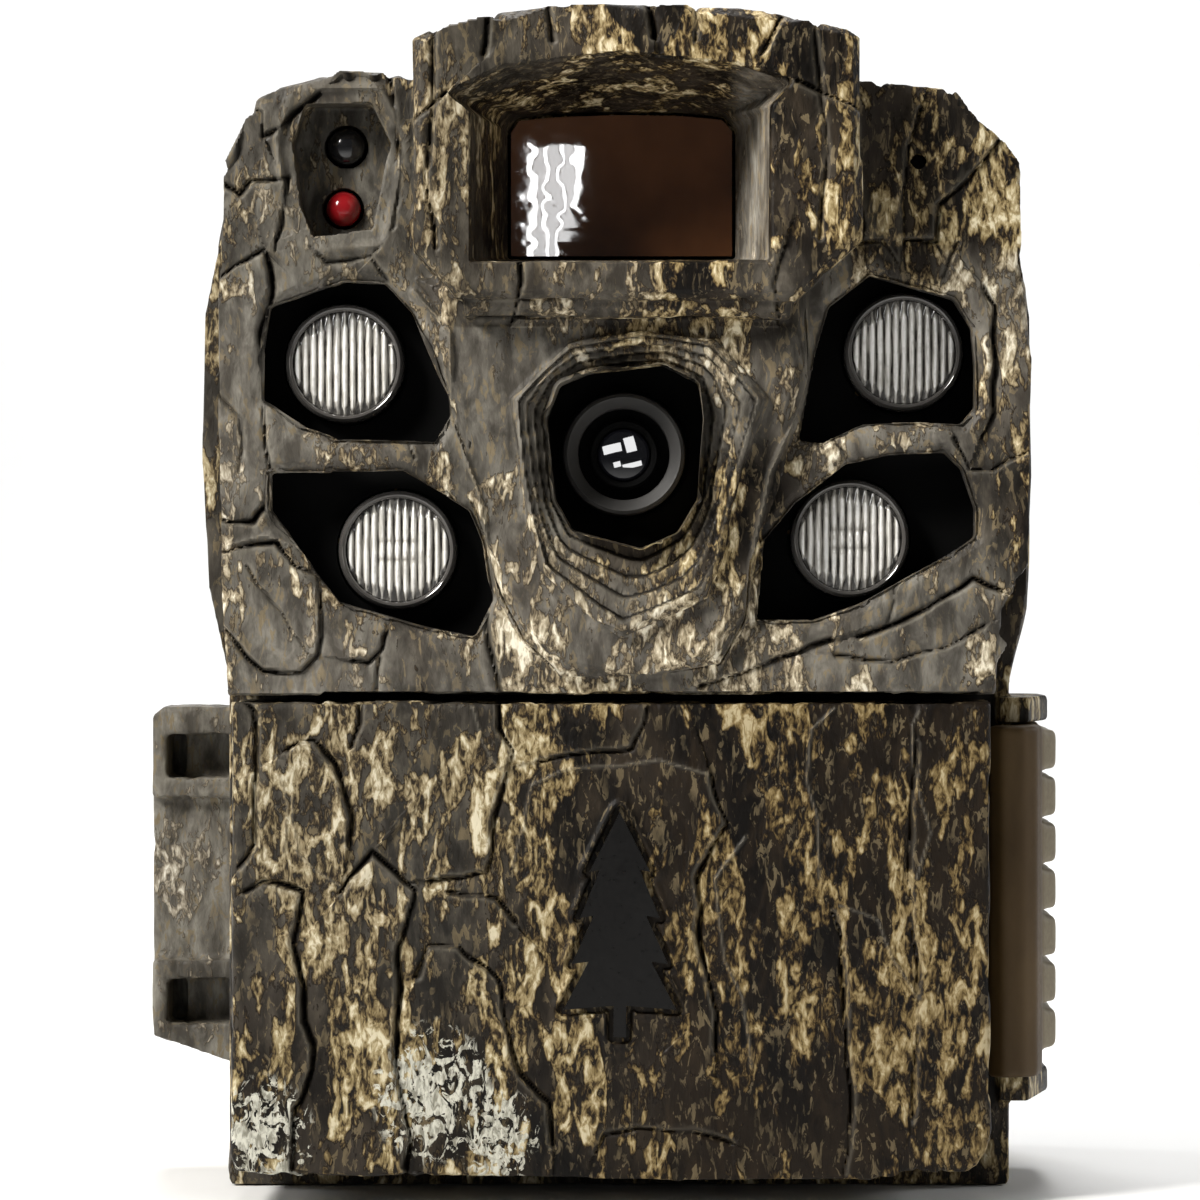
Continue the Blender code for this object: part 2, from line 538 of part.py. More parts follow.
def control_panel():
    panel = solid(
        "control_panel", "black_plastic",
        (add_box, -PANEL_HALF, PANEL_HALF, PANEL_FRONT, PANEL_BACK, PANEL_LOW, PANEL_HIGH),
    )
    x0, x1, z0, z1 = SCREEN_BOX
    cut(panel, (add_box, x0, x1, PANEL_FRONT - 1, PANEL_BACK + 1, z0, z1))
    x0, x1, z0, z1 = CARD_BOX
    cut(panel, (add_box, x0, x1, PANEL_FRONT - 1, PANEL_BACK + 1, z0, z1))
    for centre in BUTTONS.values():
        cut(panel, disc_adder(centre, 2.9, PANEL_FRONT - 1, PANEL_BACK + 1, 20))
    x, z = SWITCH
    cut(panel, (add_box, x - 6, x + 6, PANEL_FRONT - 1, PANEL_BACK + 1, z - 1.8, z + 1.8))

    x0, x1, z0, z1 = SCREEN_BOX
    solid("screen", "glass", (add_box, x0 + GAP, x1 - GAP, PANEL_FRONT + 0.2, -9.4, z0 + GAP, z1 - GAP))
    x0, x1, z0, z1 = CARD_BOX
    socket = solid("card_socket", "steel", (add_box, x0 + 0.5, x1 - 0.5, -8.7, -6.5, z1 + GAP, z1 + 22))
    cut(socket, (add_box, x0 + 1.2, x1 - 1.2, -8.3, -6.9, z1 - 1, z1 + 20))
    solid("display_board", "board", (add_box, -30.5, 30.5, -6.2, -5.5, 6.5, 44))
    for name, (x, z) in BUTTONS.items():
        radius = 2.6
        cap = [(0, 7.6), (radius, 7.6), (radius, 12.9), (radius - 0.5, 13.2), (0, 13.2)]
        solid(f"button_{name}", "grey", (add_turned, (x, 0, z), cap, 20), origin=(x, -12, z))
    x, z = SWITCH
    slider = solid("mode_switch", "grey", (add_box, x - 5.5, x + 0.5, -11.6, -9.6, z - 1.5, z + 1.5),
                   origin=(x - 2.5, -11, z))
    join(slider, (add_box, x - 3.7, x - 1.3, -13.1, -11, z - 1.2, z + 1.2))


# ---------------------------------------------------------------- door

def front_door():
    """The hinged door: a deep tray-shaped shell, a liner behind it, the emblem on it and its hinge pin."""
    hinge = (HINGE_X, HINGE_Y, 0)
    outline = [
        (-36.7, 3.2), (-33.4, 2.8), (-31, 3.2), (-29, 2.6), (-21, 2.6), (-20, 3.2), (-18, 2.6), (-1.4, 2.4),
        (5, 2.2), (24, 2.2), (25.5, 3), (28.2, 3.1), (28.6, 3.6), (30.5, 3.6), (31, 3.1),
        (33.2, 3.1), (34.8, 4.2),
        (DOOR_RIGHT, 7), (DOOR_RIGHT, DOOR_TOP), (DOOR_LEFT, DOOR_TOP), (DOOR_LEFT, 4.6),
    ]
    bm = bmesh.new()
    faces = add_prism(bm, outline, DOOR_FRONT, DOOR_BACK)
    bevel_front(bm, faces, 1.6, 2)
    door = finish(bm, "front_door", "bark", hinge)
    inside = (DOOR_LEFT + 2.2, DOOR_RIGHT - 2.2, DOOR_FRONT + 2.2, DOOR_BACK + 1, 5.2, DOOR_TOP - 2.2)
    cut(door, (add_box, *inside))
    cut(door, (add_box, DOOR_LEFT - 1, -34.5, -12.2, DOOR_BACK + 1, 0, 50))
    for z_low, z_high in DOOR_KNUCKLES:
        left, right = HINGE_X - HINGE_R, HINGE_X + HINGE_R
        arm = [(right, HINGE_Y), (right, DOOR_FRONT + 1), (left, DOOR_FRONT + 1)]
        turn = [math.radians(a) for a in range(180, -1, -20)]
        eye = [(HINGE_X + HINGE_R * math.cos(a), HINGE_Y + HINGE_R * math.sin(a)) for a in turn]
        join(door, (add_plan, (eye[:-1] + arm)[::-1], z_low, z_high))
    for z_low in HOUSING_KNUCKLES:
        low, high = z_low - GAP, z_low + KNUCKLE_TALL + GAP
        cut(door, (add_box, DOOR_LEFT - 1, HINGE_X + HINGE_R + GAP, HINGE_Y - 3, DOOR_BACK + 1, low, high))
    cut(door, (add_turned, hinge, pin_profile(PIN_R + 0.05, 5.8, 45.2), 16, "Z"))
    solid("hinge_pin", "steel", (add_turned, hinge, pin_profile(PIN_R, 6, 45), 16, "Z"), origin=hinge)

    solid(
        "door_liner", "black_plastic", (add_box, -32.4, DOOR_RIGHT - 2.5, -15.0, -13.6, 5.5, DOOR_TOP - 2.5),
        origin=hinge,
    )
    emblem = (add_prism, EMBLEM, DOOR_FRONT - 0.7, DOOR_FRONT - GAP)
    solid("door_emblem", "black_plastic", emblem, origin=hinge)


# ---------------------------------------------------------------- latch

def latch():
    """A lever on a pin between the ears. Its lip wraps to the door's edge, and ribs outside give grip."""
    pivot = (LATCH_X, LATCH_Y, 0)
    turn = [math.radians(a) for a in range(0, 181, 30)]
    eye = [(LATCH_X + LATCH_R * math.cos(a), LATCH_Y + LATCH_R * math.sin(a)) for a in turn]
    plan = eye + [
        (39.1, -11.8), (38.6, -13.2), (36.4, -13.8), (36.2, -15.6), (37.4, -16.8), (39.4, -16.6),
        (40.8, -15.4),
        (41.5, -13),
    ]
    lever = solid("latch_lever", "tan", (add_plan, plan, LATCH_LOW, LATCH_HIGH), origin=pivot)
    for number in range(7):
        z = LATCH_HIGH - 2.4 - 4.6 * number
        rib = [(41.0, -11.5), (43.2, -9.5), (43.4, 1.0), (42.0, 3.0), (41.0, 3.0)]
        join(lever, (add_plan, rib, z - 1.3, z + 1.3))
    cut(lever, (add_turned, pivot, pin_profile(PIN_R + GAP, 9, 48), 16, "Z"))
    solid("latch_pin", "steel", (add_turned, pivot, pin_profile(PIN_R, 8.8, 47.8), 16, "Z"))


# ---------------------------------------------------------------- battery tray

def battery_tray():
    front, rear = BAY_FRONT + GAP, BAY_REAR - GAP
    half = BAY_HALF - GAP
    tray = solid("battery_tray", "black_plastic", (add_box, -half, half, front, rear, 0, 3.2))
    join(
        tray,
        (add_box, -half, -half + 0.5, front + 0.4, rear - 0.4, 2.5, 55.6),
        (add_box, half - 0.5, half, front + 0.4, rear - 0.4, 2.5, 55.6),
        (add_box, -half, half, front + 0.4, rear - 0.4, 54.4, 55.8),
    )
    cut(tray, (add_box, -9, 9, 15, rear - 3, -1, 1.8))
    number = 1
    for y in CELL_ROWS:
        for column in (-1, 0, 1):
            x = column * CELL_PITCH_X
            low, shoulder, tip = CELL_LOW, CELL_LOW + 49.2, CELL_LOW + 50.4
            cell = [(0, low), (CELL_R - 0.4, low), (CELL_R, low + 0.4), (CELL_R, shoulder - 0.5),
                    (CELL_R - 0.5, shoulder), (2.7, shoulder), (2.7, tip), (0, tip)]
            solid(f"battery_{number}", "cell", (add_turned, (x, y, 0), cell, 20, "Z"))
            number += 1
    solid("contact_board", "board", (add_box, -20, 20, 1, 23, 56.1, 57.2))


def build():
    clear_scene()
    rear_housing()
    rear_bracket()
    tripod_insert()
    head_shell()
    gaskets()
    fascia()
    lamps()
    lens_group()
    sensors()
    control_panel()
    front_door()
    latch()
    battery_tray()


build()
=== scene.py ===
"""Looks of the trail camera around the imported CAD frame.

Lengths below are millimetres in the row frame unless a name says otherwise; meshes are in metres.
X runs to the right seen from the front, -Y is the front and +Z is up.
"""

import itertools
import math

import bmesh
import bpy
import numpy as np
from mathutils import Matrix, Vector
from mathutils.bvhtree import BVHTree
from mathutils.geometry import convex_hull_2d


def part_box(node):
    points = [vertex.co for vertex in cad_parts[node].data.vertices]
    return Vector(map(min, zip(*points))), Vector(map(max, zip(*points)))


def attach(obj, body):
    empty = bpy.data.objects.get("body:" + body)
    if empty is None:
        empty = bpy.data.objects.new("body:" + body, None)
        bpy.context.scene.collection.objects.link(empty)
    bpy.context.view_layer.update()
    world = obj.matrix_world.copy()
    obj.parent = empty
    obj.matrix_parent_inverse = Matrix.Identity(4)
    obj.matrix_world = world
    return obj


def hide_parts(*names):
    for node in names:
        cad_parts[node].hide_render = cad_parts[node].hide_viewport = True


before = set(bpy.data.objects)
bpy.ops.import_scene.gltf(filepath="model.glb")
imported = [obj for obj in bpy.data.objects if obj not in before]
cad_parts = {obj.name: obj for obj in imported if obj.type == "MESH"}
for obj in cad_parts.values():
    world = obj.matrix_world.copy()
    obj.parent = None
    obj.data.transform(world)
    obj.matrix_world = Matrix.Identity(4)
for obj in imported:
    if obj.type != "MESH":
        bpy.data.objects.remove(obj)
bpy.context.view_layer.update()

MM = 0.001

# ---------------------------------------------------------------- camera, light and floor

CAMERA_AT = (-1.9, -500.0, 57.8)
LENS_MM = 148.5


def add_camera():
    data = bpy.data.cameras.new("camera")
    data.lens = LENS_MM
    data.sensor_width = 36.0
    data.clip_start, data.clip_end = 0.01, 20
    camera = bpy.data.objects.new("camera", data)
    camera.location = Vector(CAMERA_AT) * MM
    camera.rotation_euler = (math.radians(90), 0, 0)
    bpy.context.scene.collection.objects.link(camera)
    bpy.context.scene.camera = camera


def light_only(light, *objects):
    """Lets a light reach just these objects, as a snooted lamp would."""
    group = bpy.data.collections.new(light.name + "_only")
    for obj in objects:
        group.objects.link(obj)
    light.light_linking.receiver_collection = group


def add_area(name, at_m, target_m, size_m, watts, colour=(1, 1, 1), height_m=None, spread_deg=180):
    data = bpy.data.lights.new(name, "AREA")
    data.energy = watts
    data.color = colour
    data.shape = "RECTANGLE"
    data.size = size_m
    data.size_y = height_m or size_m
    data.spread = math.radians(spread_deg)
    light = bpy.data.objects.new(name, data)
    light.location = at_m
    light.rotation_euler = (Vector(target_m) - Vector(at_m)).to_track_quat("-Z", "Y").to_euler()
    bpy.context.scene.collection.objects.link(light)
    return light


def link(obj):
    bpy.context.scene.collection.objects.link(obj)
    return obj


def plain_material(name, colour, rough):
    made = bpy.data.materials.new(name)
    made.use_nodes = True
    shader = made.node_tree.nodes["Principled BSDF"]
    shader.inputs["Base Color"].default_value = (*colour, 1)
    shader.inputs["Roughness"].default_value = rough
    return made


def add_floor():
    """A pale floor that curves up into a backdrop. Its lengths are metres."""
    front, depth, radius, height, half_width, arc_steps, sink = -1.6, 0.9, 0.35, 1.6, 1.8, 12, 0.0002
    profile = [(front, 0.0), (depth, 0.0)]
    for i in range(1, arc_steps + 1):
        a = math.pi / 2 * i / arc_steps
        profile.append((depth + radius * math.sin(a), radius * (1 - math.cos(a))))
    profile.append((depth + radius, height))
    bm = bmesh.new()
    rows = [[bm.verts.new((x, y, z)) for x in (-half_width, half_width)] for y, z in profile]
    for low, high in zip(rows, rows[1:]):
        bm.faces.new((low[0], low[1], high[1], high[0]))
    mesh = bpy.data.meshes.new("floor")
    bm.to_mesh(mesh)
    bm.free()
    for polygon in mesh.polygons:
        polygon.use_smooth = True
    floor = link(bpy.data.objects.new("floor", mesh))
    floor.location.z = -sink
    mesh.materials.append(plain_material("floor_paper", (0.86, 0.86, 0.855), 0.9))


# Name, place, target, size (all metres), watts, colour and spread in degrees
WHITE = (1, 1, 1)
STUDIO_LIGHTS = [
    ("key", (-0.30, -0.24, 0.34), (0, 0, 0.075), 0.13, 0.38, (1.0, 0.97, 0.92), 60),
    ("fill", (0.50, -0.45, 0.14), (0, 0, 0.06), 0.20, 0.03, (1.0, 0.94, 0.86), 60),
    ("top", (0.0, 0.02, 0.75), (0, 0, 0.05), 0.3, 0.20, (1.0, 0.99, 0.97), 60),
    ("backdrop_wash", (0.0, 0.45, 1.0), (0, 1.22, 0.45), 0.6, 6.5, WHITE, 120),
    ("floor_wash", (0.0, 0.55, 1.0), (0, 0.42, 0.0), 0.35, 2.6, WHITE, 80),
    ("side_left", (-0.75, 0.30, 0.35), (0, 0.01, 0.06), 0.25, 0.16, WHITE, 50),
    ("side_right", (0.75, 0.25, 0.35), (0, 0.01, 0.06), 0.25, 0.16, WHITE, 50),
]
SKY_COLOUR, SKY_STRENGTH = (0.95, 0.97, 1.0, 1), 0.07


def add_studio():
    scene = bpy.context.scene
    scene.world = bpy.data.worlds.new("studio")
    scene.world.use_nodes = True
    sky = scene.world.node_tree.nodes["Background"]
    sky.inputs[0].default_value, sky.inputs[1].default_value = SKY_COLOUR, SKY_STRENGTH
    for name, place, target, size, watts, colour, spread_deg in STUDIO_LIGHTS:
        add_area(name, place, target, size, watts, colour, spread_deg=spread_deg)
    scene.view_settings.view_transform = "Standard"
    scene.view_settings.look = "None"


# Bright strips that the film mirrors: left, right and low edge in mm, and radiance. They share one top
STRIPS = [
    (-16.6, -14.9, 121, 34), (-14.7, -13.5, 121, 11), (-13.3, -12.3, 122, 36), (-12.1, -10.3, 124, 12),
    (-10.1, -9.2, 127, 30), (-9.0, -7.6, 131, 13), (-7.4, -5.4, 136, 32),
]
STRIP_TOP, STRIP_Y_M = 150.5, -0.53
# Window panes that the lens mirrors: name, middle, width and height in metres
PANES = [
    ("pane_upper_left", (-0.150, -0.60, 0.170), 0.25, 0.115),
    ("pane_upper_right", (0.085, -0.60, 0.225), 0.14, 0.20),
    ("pane_lower_left", (-0.040, -0.30, 0.020), 0.045, 0.034),
    ("pane_lower_right", (0.055, -0.30, 0.015), 0.125, 0.032),
]
PANE_RADIANCE, PANE_SLANT_DEG = 13, 14


def add_reflections(film, front_element, optics):
    """Small lights for one kind of shiny piece each: the film, the lens and the lamps."""
    for number, (left, right, low, radiance) in enumerate(STRIPS):
        at = ((left + right) / 2 * MM, STRIP_Y_M, (low + STRIP_TOP) / 2 * MM)
        width, height = (right - left) * MM, (STRIP_TOP - low) * MM
        watts = radiance * math.pi * width * height
        strip = add_area("strip_%d" % number, at, (at[0], 0, at[2]), width, watts, height_m=height)
        light_only(strip, film)
    for name, at, width, height in PANES:
        watts = PANE_RADIANCE * math.pi * width * height
        pane = add_area(name, at, (0, 0, 0.07), width, watts, height_m=height)
        pane.rotation_euler.rotate_axis("Z", math.radians(PANE_SLANT_DEG))
        light_only(pane, front_element)
    glow = add_area("lamp_glow", (-0.20, -0.45, 0.30), (0, 0, 0.07), 0.14, 0.10, spread_deg=60)
    light_only(glow, *optics)


# ---------------------------------------------------------------- noise

def hashed(ix, iy, iz, seed):
    """A repeatable number from 0 to 1 for each whole-number cell."""
    h = (ix * 374761393 + iy * 668265263 + iz * 2147483647 + seed * 1274126177) & 0xFFFFFFFF
    h = ((h ^ (h >> 13)) * 1274126177) & 0xFFFFFFFF
    h = ((h ^ (h >> 16)) * 2246822519) & 0xFFFFFFFF
    return ((h ^ (h >> 15)) & 0xFFFFFF) / float(0xFFFFFF)


def value_noise(points, scale, seed=0):
    """Smooth noise from -1 to 1. The scale is a size in mm along each axis."""
    p = points / np.array(scale, float)
    cell = np.floor(p).astype(np.int64)
    f = p - cell
    f = f * f * (3 - 2 * f)
    total = np.zeros(len(points))
    for corner in itertools.product((0, 1), repeat=3):
        weight = 1.0
        for axis, step in enumerate(corner):
            weight = weight * (f[:, axis] if step else 1 - f[:, axis])
        total += weight * hashed(*(cell + corner).T, seed)
    return total * 2 - 1


def fractal(points, scale, octaves=3, seed=0):
    total, gain = np.zeros(len(points)), 1.0
    scale = np.array(scale, float)
    for k in range(octaves):
        total += gain * value_noise(points, scale / 2**k, seed + 17 * k)
        gain *= 0.5
    return total / 1.6


def cell_edges(points, scale, seed=0):
    """Distance-like value that is 0 on the borders of jittered cells, and each point's own cell number."""
    p = points / np.array(scale, float)
    cell = np.floor(p).astype(np.int64)
    first = np.full(len(p), 9.0)
    second = np.full(len(p), 9.0)
    owner = np.zeros(len(p))
    for step in itertools.product((-1, 0, 1), repeat=3):
        c = cell + step
        spot = [hashed(*c.T, seed + k) for k in (1, 2, 3)]
        d = np.sqrt(sum((c[:, k] + spot[k] - p[:, k]) ** 2 for k in range(3)))
        nearer = d < first
        second = np.where(nearer, first, np.minimum(second, d))
        owner = np.where(nearer, hashed(*c.T, seed + 9), owner)
        first = np.where(nearer, d, first)
    return second - first, owner


def smooth(low, high, value):
    t = np.clip((value - low) / (high - low), 0, 1)
    return t * t * (3 - 2 * t)


# ---------------------------------------------------------------- lines and outlines of the relief

def to_path(xz, path, closed=False):
    """Distance from each (x, z) point to a polyline, and its side (+1 left of the line's direction)."""
    corners = np.array(path, float)
    if closed:
        corners = np.vstack([corners, corners[:1]])
    best = np.full(len(xz), 1e9)
    side = np.ones(len(xz))
    for a, b in zip(corners, corners[1:]):
        edge = b - a
        rel = xz - a
        t = np.clip(rel @ edge / max(edge @ edge, 1e-12), 0, 1)
        d = np.linalg.norm(rel - t[:, None] * edge, axis=1)
        nearer = d < best
        cross = edge[0] * rel[:, 1] - edge[1] * rel[:, 0]
        side = np.where(nearer, np.sign(cross), side)
        best = np.where(nearer, d, best)
    return best, side


def inside(xz, outline):
    """True for the points inside a closed outline."""
    corners = np.array(outline, float)
    found = np.zeros(len(xz), bool)
    for (x0, z0), (x1, z1) in zip(corners, np.roll(corners, -1, axis=0)):
        if z0 == z1:
            continue
        crosses = (z0 > xz[:, 1]) != (z1 > xz[:, 1])
        found ^= crosses & (xz[:, 0] < (x1 - x0) * (xz[:, 1] - z0) / (z1 - z0) + x0)
    return found


# Cracks on the door: corners, strength, and the higher side (+1 left of the line's direction, 0 none)
DOOR_CRACKS = [
    ([(-35.7, 48.2), (-34.8, 47), (-35, 40.6), (-34.9, 34.6), (-36.4, 32.3)], 0.8, 1),
    ([(-24.9, 47.9), (-24.8, 46), (-25.6, 43.6)], 0.8, 1),
    ([(-31.9, 43.3), (-30.9, 43.9), (-29.4, 44.1), (-27.2, 42.2), (-26.4, 39.6), (-25.6, 36.9), (-26, 34.2)],
     0.9, -1),
    ([(-35.9, 29.9), (-34, 31.1), (-30.4, 29.9), (-31.4, 24.8), (-30.4, 20.6), (-30.4, 17.4), (-29.5, 15.2),
      (-29.5, 12.7), (-31.1, 9.2), (-31.3, 3.4)], 1, -1),
    ([(-26.6, 29.9), (-23.6, 33.8), (-19.7, 29.9), (-21.3, 24.8), (-21, 20.3), (-21.7, 13.7), (-20.8, 8.9),
      (-20, 6), (-20.5, 3.4)], 1, -1),
    ([(-19.5, 21.6), (-18.3, 24.6), (-15.4, 24.6), (-11.9, 21.6), (-10.3, 14.6), (-9.4, 12.2), (-6.8, 9.5),
      (-6.5, 5.7)], 0.8, -1),
    ([(-11.7, 47.7), (-11.6, 45.5), (-10.3, 43.6), (-11.1, 40.3), (-12.1, 36.8), (-12.7, 31.6),
      (-18.1, 31.1)],
     0.8, -1),
    ([(-16.4, 29.9), (-11.9, 29), (-10.1, 26.9)], 0.7, -1),
    ([(2.4, 47.5), (2.2, 46), (1.1, 43.6), (-1.9, 43.3), (-8, 42.4)], 0.6, -1),
    ([(8.6, 41.1), (10.1, 36.4), (8.6, 34), (7.4, 31.1), (7.7, 23.8), (9.2, 18.4), (9.1, 14.9)], 0.9, -1),
    ([(-2.2, 5), (-1.5, 6.7), (1.6, 7.2), (7, 7), (10.8, 5.8)], 0.5, 1),
    ([(20.3, 27.9), (21.4, 24.8), (21.7, 15.2), (22.4, 10.4), (21.6, 3)], 0.6, 1),
    ([(28.4, 44), (27.6, 33), (28.6, 22), (28, 8)], 0.5, 1),
]
# Thin raised veins on the door, which catch the light and carry a painted highlight
DOOR_VEINS = [
    [(-10.3, 32.3), (-9.2, 36.2), (-8.5, 40), (-5.4, 41.5), (-0.6, 41.9), (3.8, 42.5), (8.6, 41.1)],
    [(12.1, 35.2), (9.1, 31.1), (10.1, 23.1), (11.8, 19.7), (12.7, 13)],
    [(20.6, 47.5), (18.4, 45.4), (17.9, 40.6), (18.9, 37.4), (19.1, 31.1)],
    [(28.7, 47.2), (28, 45.7), (28.1, 41.9), (29.7, 35.5), (28.4, 31.1)],
    [(-33, 43), (-31.8, 38), (-32.2, 33.8)],
    [(21, 28.6), (24.8, 27.2), (26, 23.6), (28.6, 19.6)],
    [(-14, 47.6), (-13.2, 44.2), (-11.6, 41.6)],
    [(-26, 30), (-28.8, 31.6), (-31, 33.6), (-31.4, 39)],
]
# The same for the face of the head
HEAD_CRACKS = [
    ([(-33.8, 91), (-33.3, 89.6), (-33.1, 87.7), (-33.4, 85.9), (-34.4, 83.6), (-34.3, 77.6), (-34.1, 73.7),
      (-33.6, 69.8), (-33.6, 67.4), (-35.1, 65.4), (-37.2, 65.2), (-39, 65.6)], 1.3, 1),
    ([(-38.6, 62), (-34.6, 63), (-32.8, 63.2), (-31, 61), (-29, 60.3), (-28.5, 54.3), (-29, 52.8),
      (-30.6, 51), (-34, 50.8), (-35.6, 52.4), (-37.9, 55)], 1, -1),
    ([(-35.6, 61), (-34.4, 58.9), (-29.6, 52.5)], 0.5, 0),
    ([(-39, 87.9), (-37, 89.6), (-34.1, 91.2)], 1, -1),
    ([(-36, 105.6), (-34.1, 104.4), (-34.1, 102.2), (-32.6, 102.9), (-31.4, 104.3), (-28.6, 106.4)], 0.9, 1),
    ([(-38.6, 98.2), (-36.4, 96.6), (-35.3, 97.9), (-31.9, 98.3), (-32, 95.5), (-33, 91)], 0.9, -1),
    ([(-22, 107.6), (-21, 101), (-21.6, 93.6), (-23.4, 91.2)], 0.8, 1),
    ([(-20.4, 73.1), (-19.6, 71.2)], 0.8, 0),
    ([(-25.6, 51.9), (-24.2, 51.6), (-22.8, 53.2), (-22.5, 54.8)], 0.7, 1),
    ([(-23, 52.1), (-23.6, 48.6)], 0.6, 0),
    ([(-12.8, 56.8), (-12.3, 53), (-11.4, 48.6)], 0.8, 1),
    ([(-29.4, 91.4), (-28, 90), (-24, 90.6), (-22.4, 88.4)], 0.7, 0),
    ([(-38.8, 78), (-36.2, 75), (-36.4, 70)], 0.4, 0),
    ([(7.7, 49.6), (13.5, 51.6), (17.3, 53), (20, 54)], 0.9, 1),
    ([(23, 54.4), (29.7, 56.8), (33.8, 60), (36.6, 58.6)], 1, -1),
    ([(20.4, 52.4), (26, 51.8), (31, 53.2), (35, 55.2)], 0.7, -1),
    ([(32.1, 73.4), (33.4, 70.6), (36, 70.2), (39.4, 72)], 0.7, -1),
    ([(34.6, 87.8), (35.9, 86), (35.8, 76), (34.6, 73.4)], 0.9, -1),
    ([(22.6, 107), (22.9, 100), (23.3, 93.4)], 0.9, 1),
    ([(28.8, 104.8), (27.4, 100.4), (27, 95), (26.8, 90.4)], 0.8, -1),
    ([(36.6, 102.2), (32.6, 97.4), (30.4, 95.6), (30.2, 92), (26.8, 92.2)], 0.8, -1),
    ([(32.4, 92), (30.8, 89)], 0.5, 0),
    ([(21, 92), (25, 92.4), (26.4, 90)], 0.6, 0),
    ([(20.4, 73.4), (21.6, 71.4), (23, 70.6)], 0.5, 0),
    ([(24.2, 62.4), (26.4, 59.2), (25.6, 56)], 0.4, 0),
]
HEAD_VEINS = [
    [(-37.4, 63), (-34, 64), (-30.4, 62.6)],
    [(25.6, 61.8), (27.2, 59.6), (26, 57.6)],
    [(-26.6, 72.6), (-24.4, 74.2), (-22.2, 75.6)],
]
# Ridges that bound the nose: the flank falls away outside each of them
NOSE_RIDGES = [
    [(-19.7, 87.4), (-16.1, 83.3), (-16.2, 75.7), (-13.5, 68.2), (-12.6, 63.2), (-11.6, 58.4), (-9.1, 53.7),
     (-5.6, 50.9)],
    [(17.6, 88.6), (18, 79), (16.6, 74.6), (14.4, 70.2), (12.5, 61.6), (12, 56), (9.6, 51.8)],
]
# The terraces round the lens step down from the outer outline to the inner one
RING_OUTER = [
    (0.1, 54), (8.5, 57.9), (9.9, 61.6), (11.3, 69.2), (14.2, 77), (9.1, 82.6), (2, 83.6), (-5, 82.3),
    (-10.4, 77), (-9.4, 69.2), (-7.8, 60.6), (-2.6, 55.9),
]
RING_INNER = [
    (2, 62.8), (5.5, 64.3), (7.4, 67.5), (8, 75.1), (7.5, 78.6), (4.1, 80.3), (-2.8, 79.5), (-5.7, 78.3),
    (-6.9, 75.1), (-6.1, 67.4), (-4.5, 64.5),
]
# Cracks on the hood and the brow
HOOD_CRACKS = [
    ([(-17.8, 112.2), (-17.6, 105), (-18.2, 98), (-17.4, 91)], 0.7, 1),
    ([(-12.4, 113.4), (-12.8, 109.4)], 1, 1),
    ([(-6.9, 114), (-6.4, 110.6)], 0.7, 0),
    ([(2.7, 114.2), (3.2, 110.9)], 1, -1),
    ([(7.3, 114), (7, 110.6)], 0.7, 0),
    ([(15.6, 113.2), (13.6, 109.6)], 1, 1),
    ([(-9.7, 91.4), (-9.2, 88), (-10.2, 84.4)], 1, 1),
    ([(15.6, 91.4), (14.4, 87.6), (15, 84.6)], 0.7, -1),
    ([(-16.4, 105.8), (-19.8, 103)], 0.8, 1),
    ([(16.8, 106.6), (22.8, 104)], 0.8, -1),
    ([(18.4, 111.8), (19.6, 100), (18.8, 92)], 0.6, 0),
]
# A smoother patch of the door round the emblem
EMBLEM_PLATE = [
    (-8, 33), (-7.4, 37), (-5, 40.3), (0, 41.2), (5, 40.3), (7.6, 37), (7.2, 31), (7.4, 22),
    (7.4, 16), (4.4, 13), (-4.4, 13), (-7.6, 16), (-7.8, 24),
]


def bell(distance, width):
    """1 at no distance, falling smoothly to almost 0 at two widths."""
    return np.exp(-((distance / width) ** 2))


def drift(points):
    """Small wandering offsets along X and Z, so that drawn lines come out ragged."""
    return np.stack([0.35 * fractal(points, (2.6, 9, 2.6), 2, seed) for seed in (3, 4)], axis=1)


def furrow(xz, cracks, warp):
    """How far the cracks lift the surface in mm, a mask for painted shade in their grooves and one for
    painted highlights on their edges.
    """
    moved = xz + warp
    depth = np.zeros(len(xz))
    groove = np.zeros(len(xz))
    rim = np.zeros(len(xz))
    flat = np.stack([xz[:, 0], np.zeros(len(xz)), xz[:, 1]], axis=1)
    wear = 0.55 + 0.45 * smooth(-0.55, 0.35, value_noise(flat, (3.4, 1, 4.2), 71))
    for path, strength, high_side in cracks:
        d, side = to_path(moved, path)
        half = (0.17 + 0.10 * strength) * wear
        depth -= 0.85 * strength * wear * bell(d, half)
        groove = np.maximum(groove, strength * wear * bell(d, half * 0.85))
        step = np.exp(-d / 3.6) * 0.46 * strength
        if high_side:
            raised = side == high_side
            depth += np.where(raised, step, -0.35 * step)
        else:
            raised = np.ones(len(xz), bool)
            depth += 0.3 * step
        rim = np.maximum(rim, bell(d - half * 1.5, 0.16) * min(strength, 1) * raised)
    return depth, np.clip(groove, 0, 1), rim


def ridges(xz, paths, half_width):
    """1 along thin raised lines."""
    height = np.zeros(len(xz))
    for path in paths:
        d, _ = to_path(xz, path)
        height = np.maximum(height, bell(d, half_width))
    return height


# ---------------------------------------------------------------- mesh work

def dense_copy(node, name, voxel_mm):
    """A fine, even mesh of a CAD node's own shape."""
    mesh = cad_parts[node].data.copy()
    mesh.name = name
    obj = link(bpy.data.objects.new(name, mesh))
    mesh.materials.clear()
    remesh = obj.modifiers.new("even", "REMESH")
    remesh.mode = "VOXEL"
    remesh.voxel_size = voxel_mm * MM
    remesh.adaptivity = 0
    apply_modifiers(obj)
    return obj


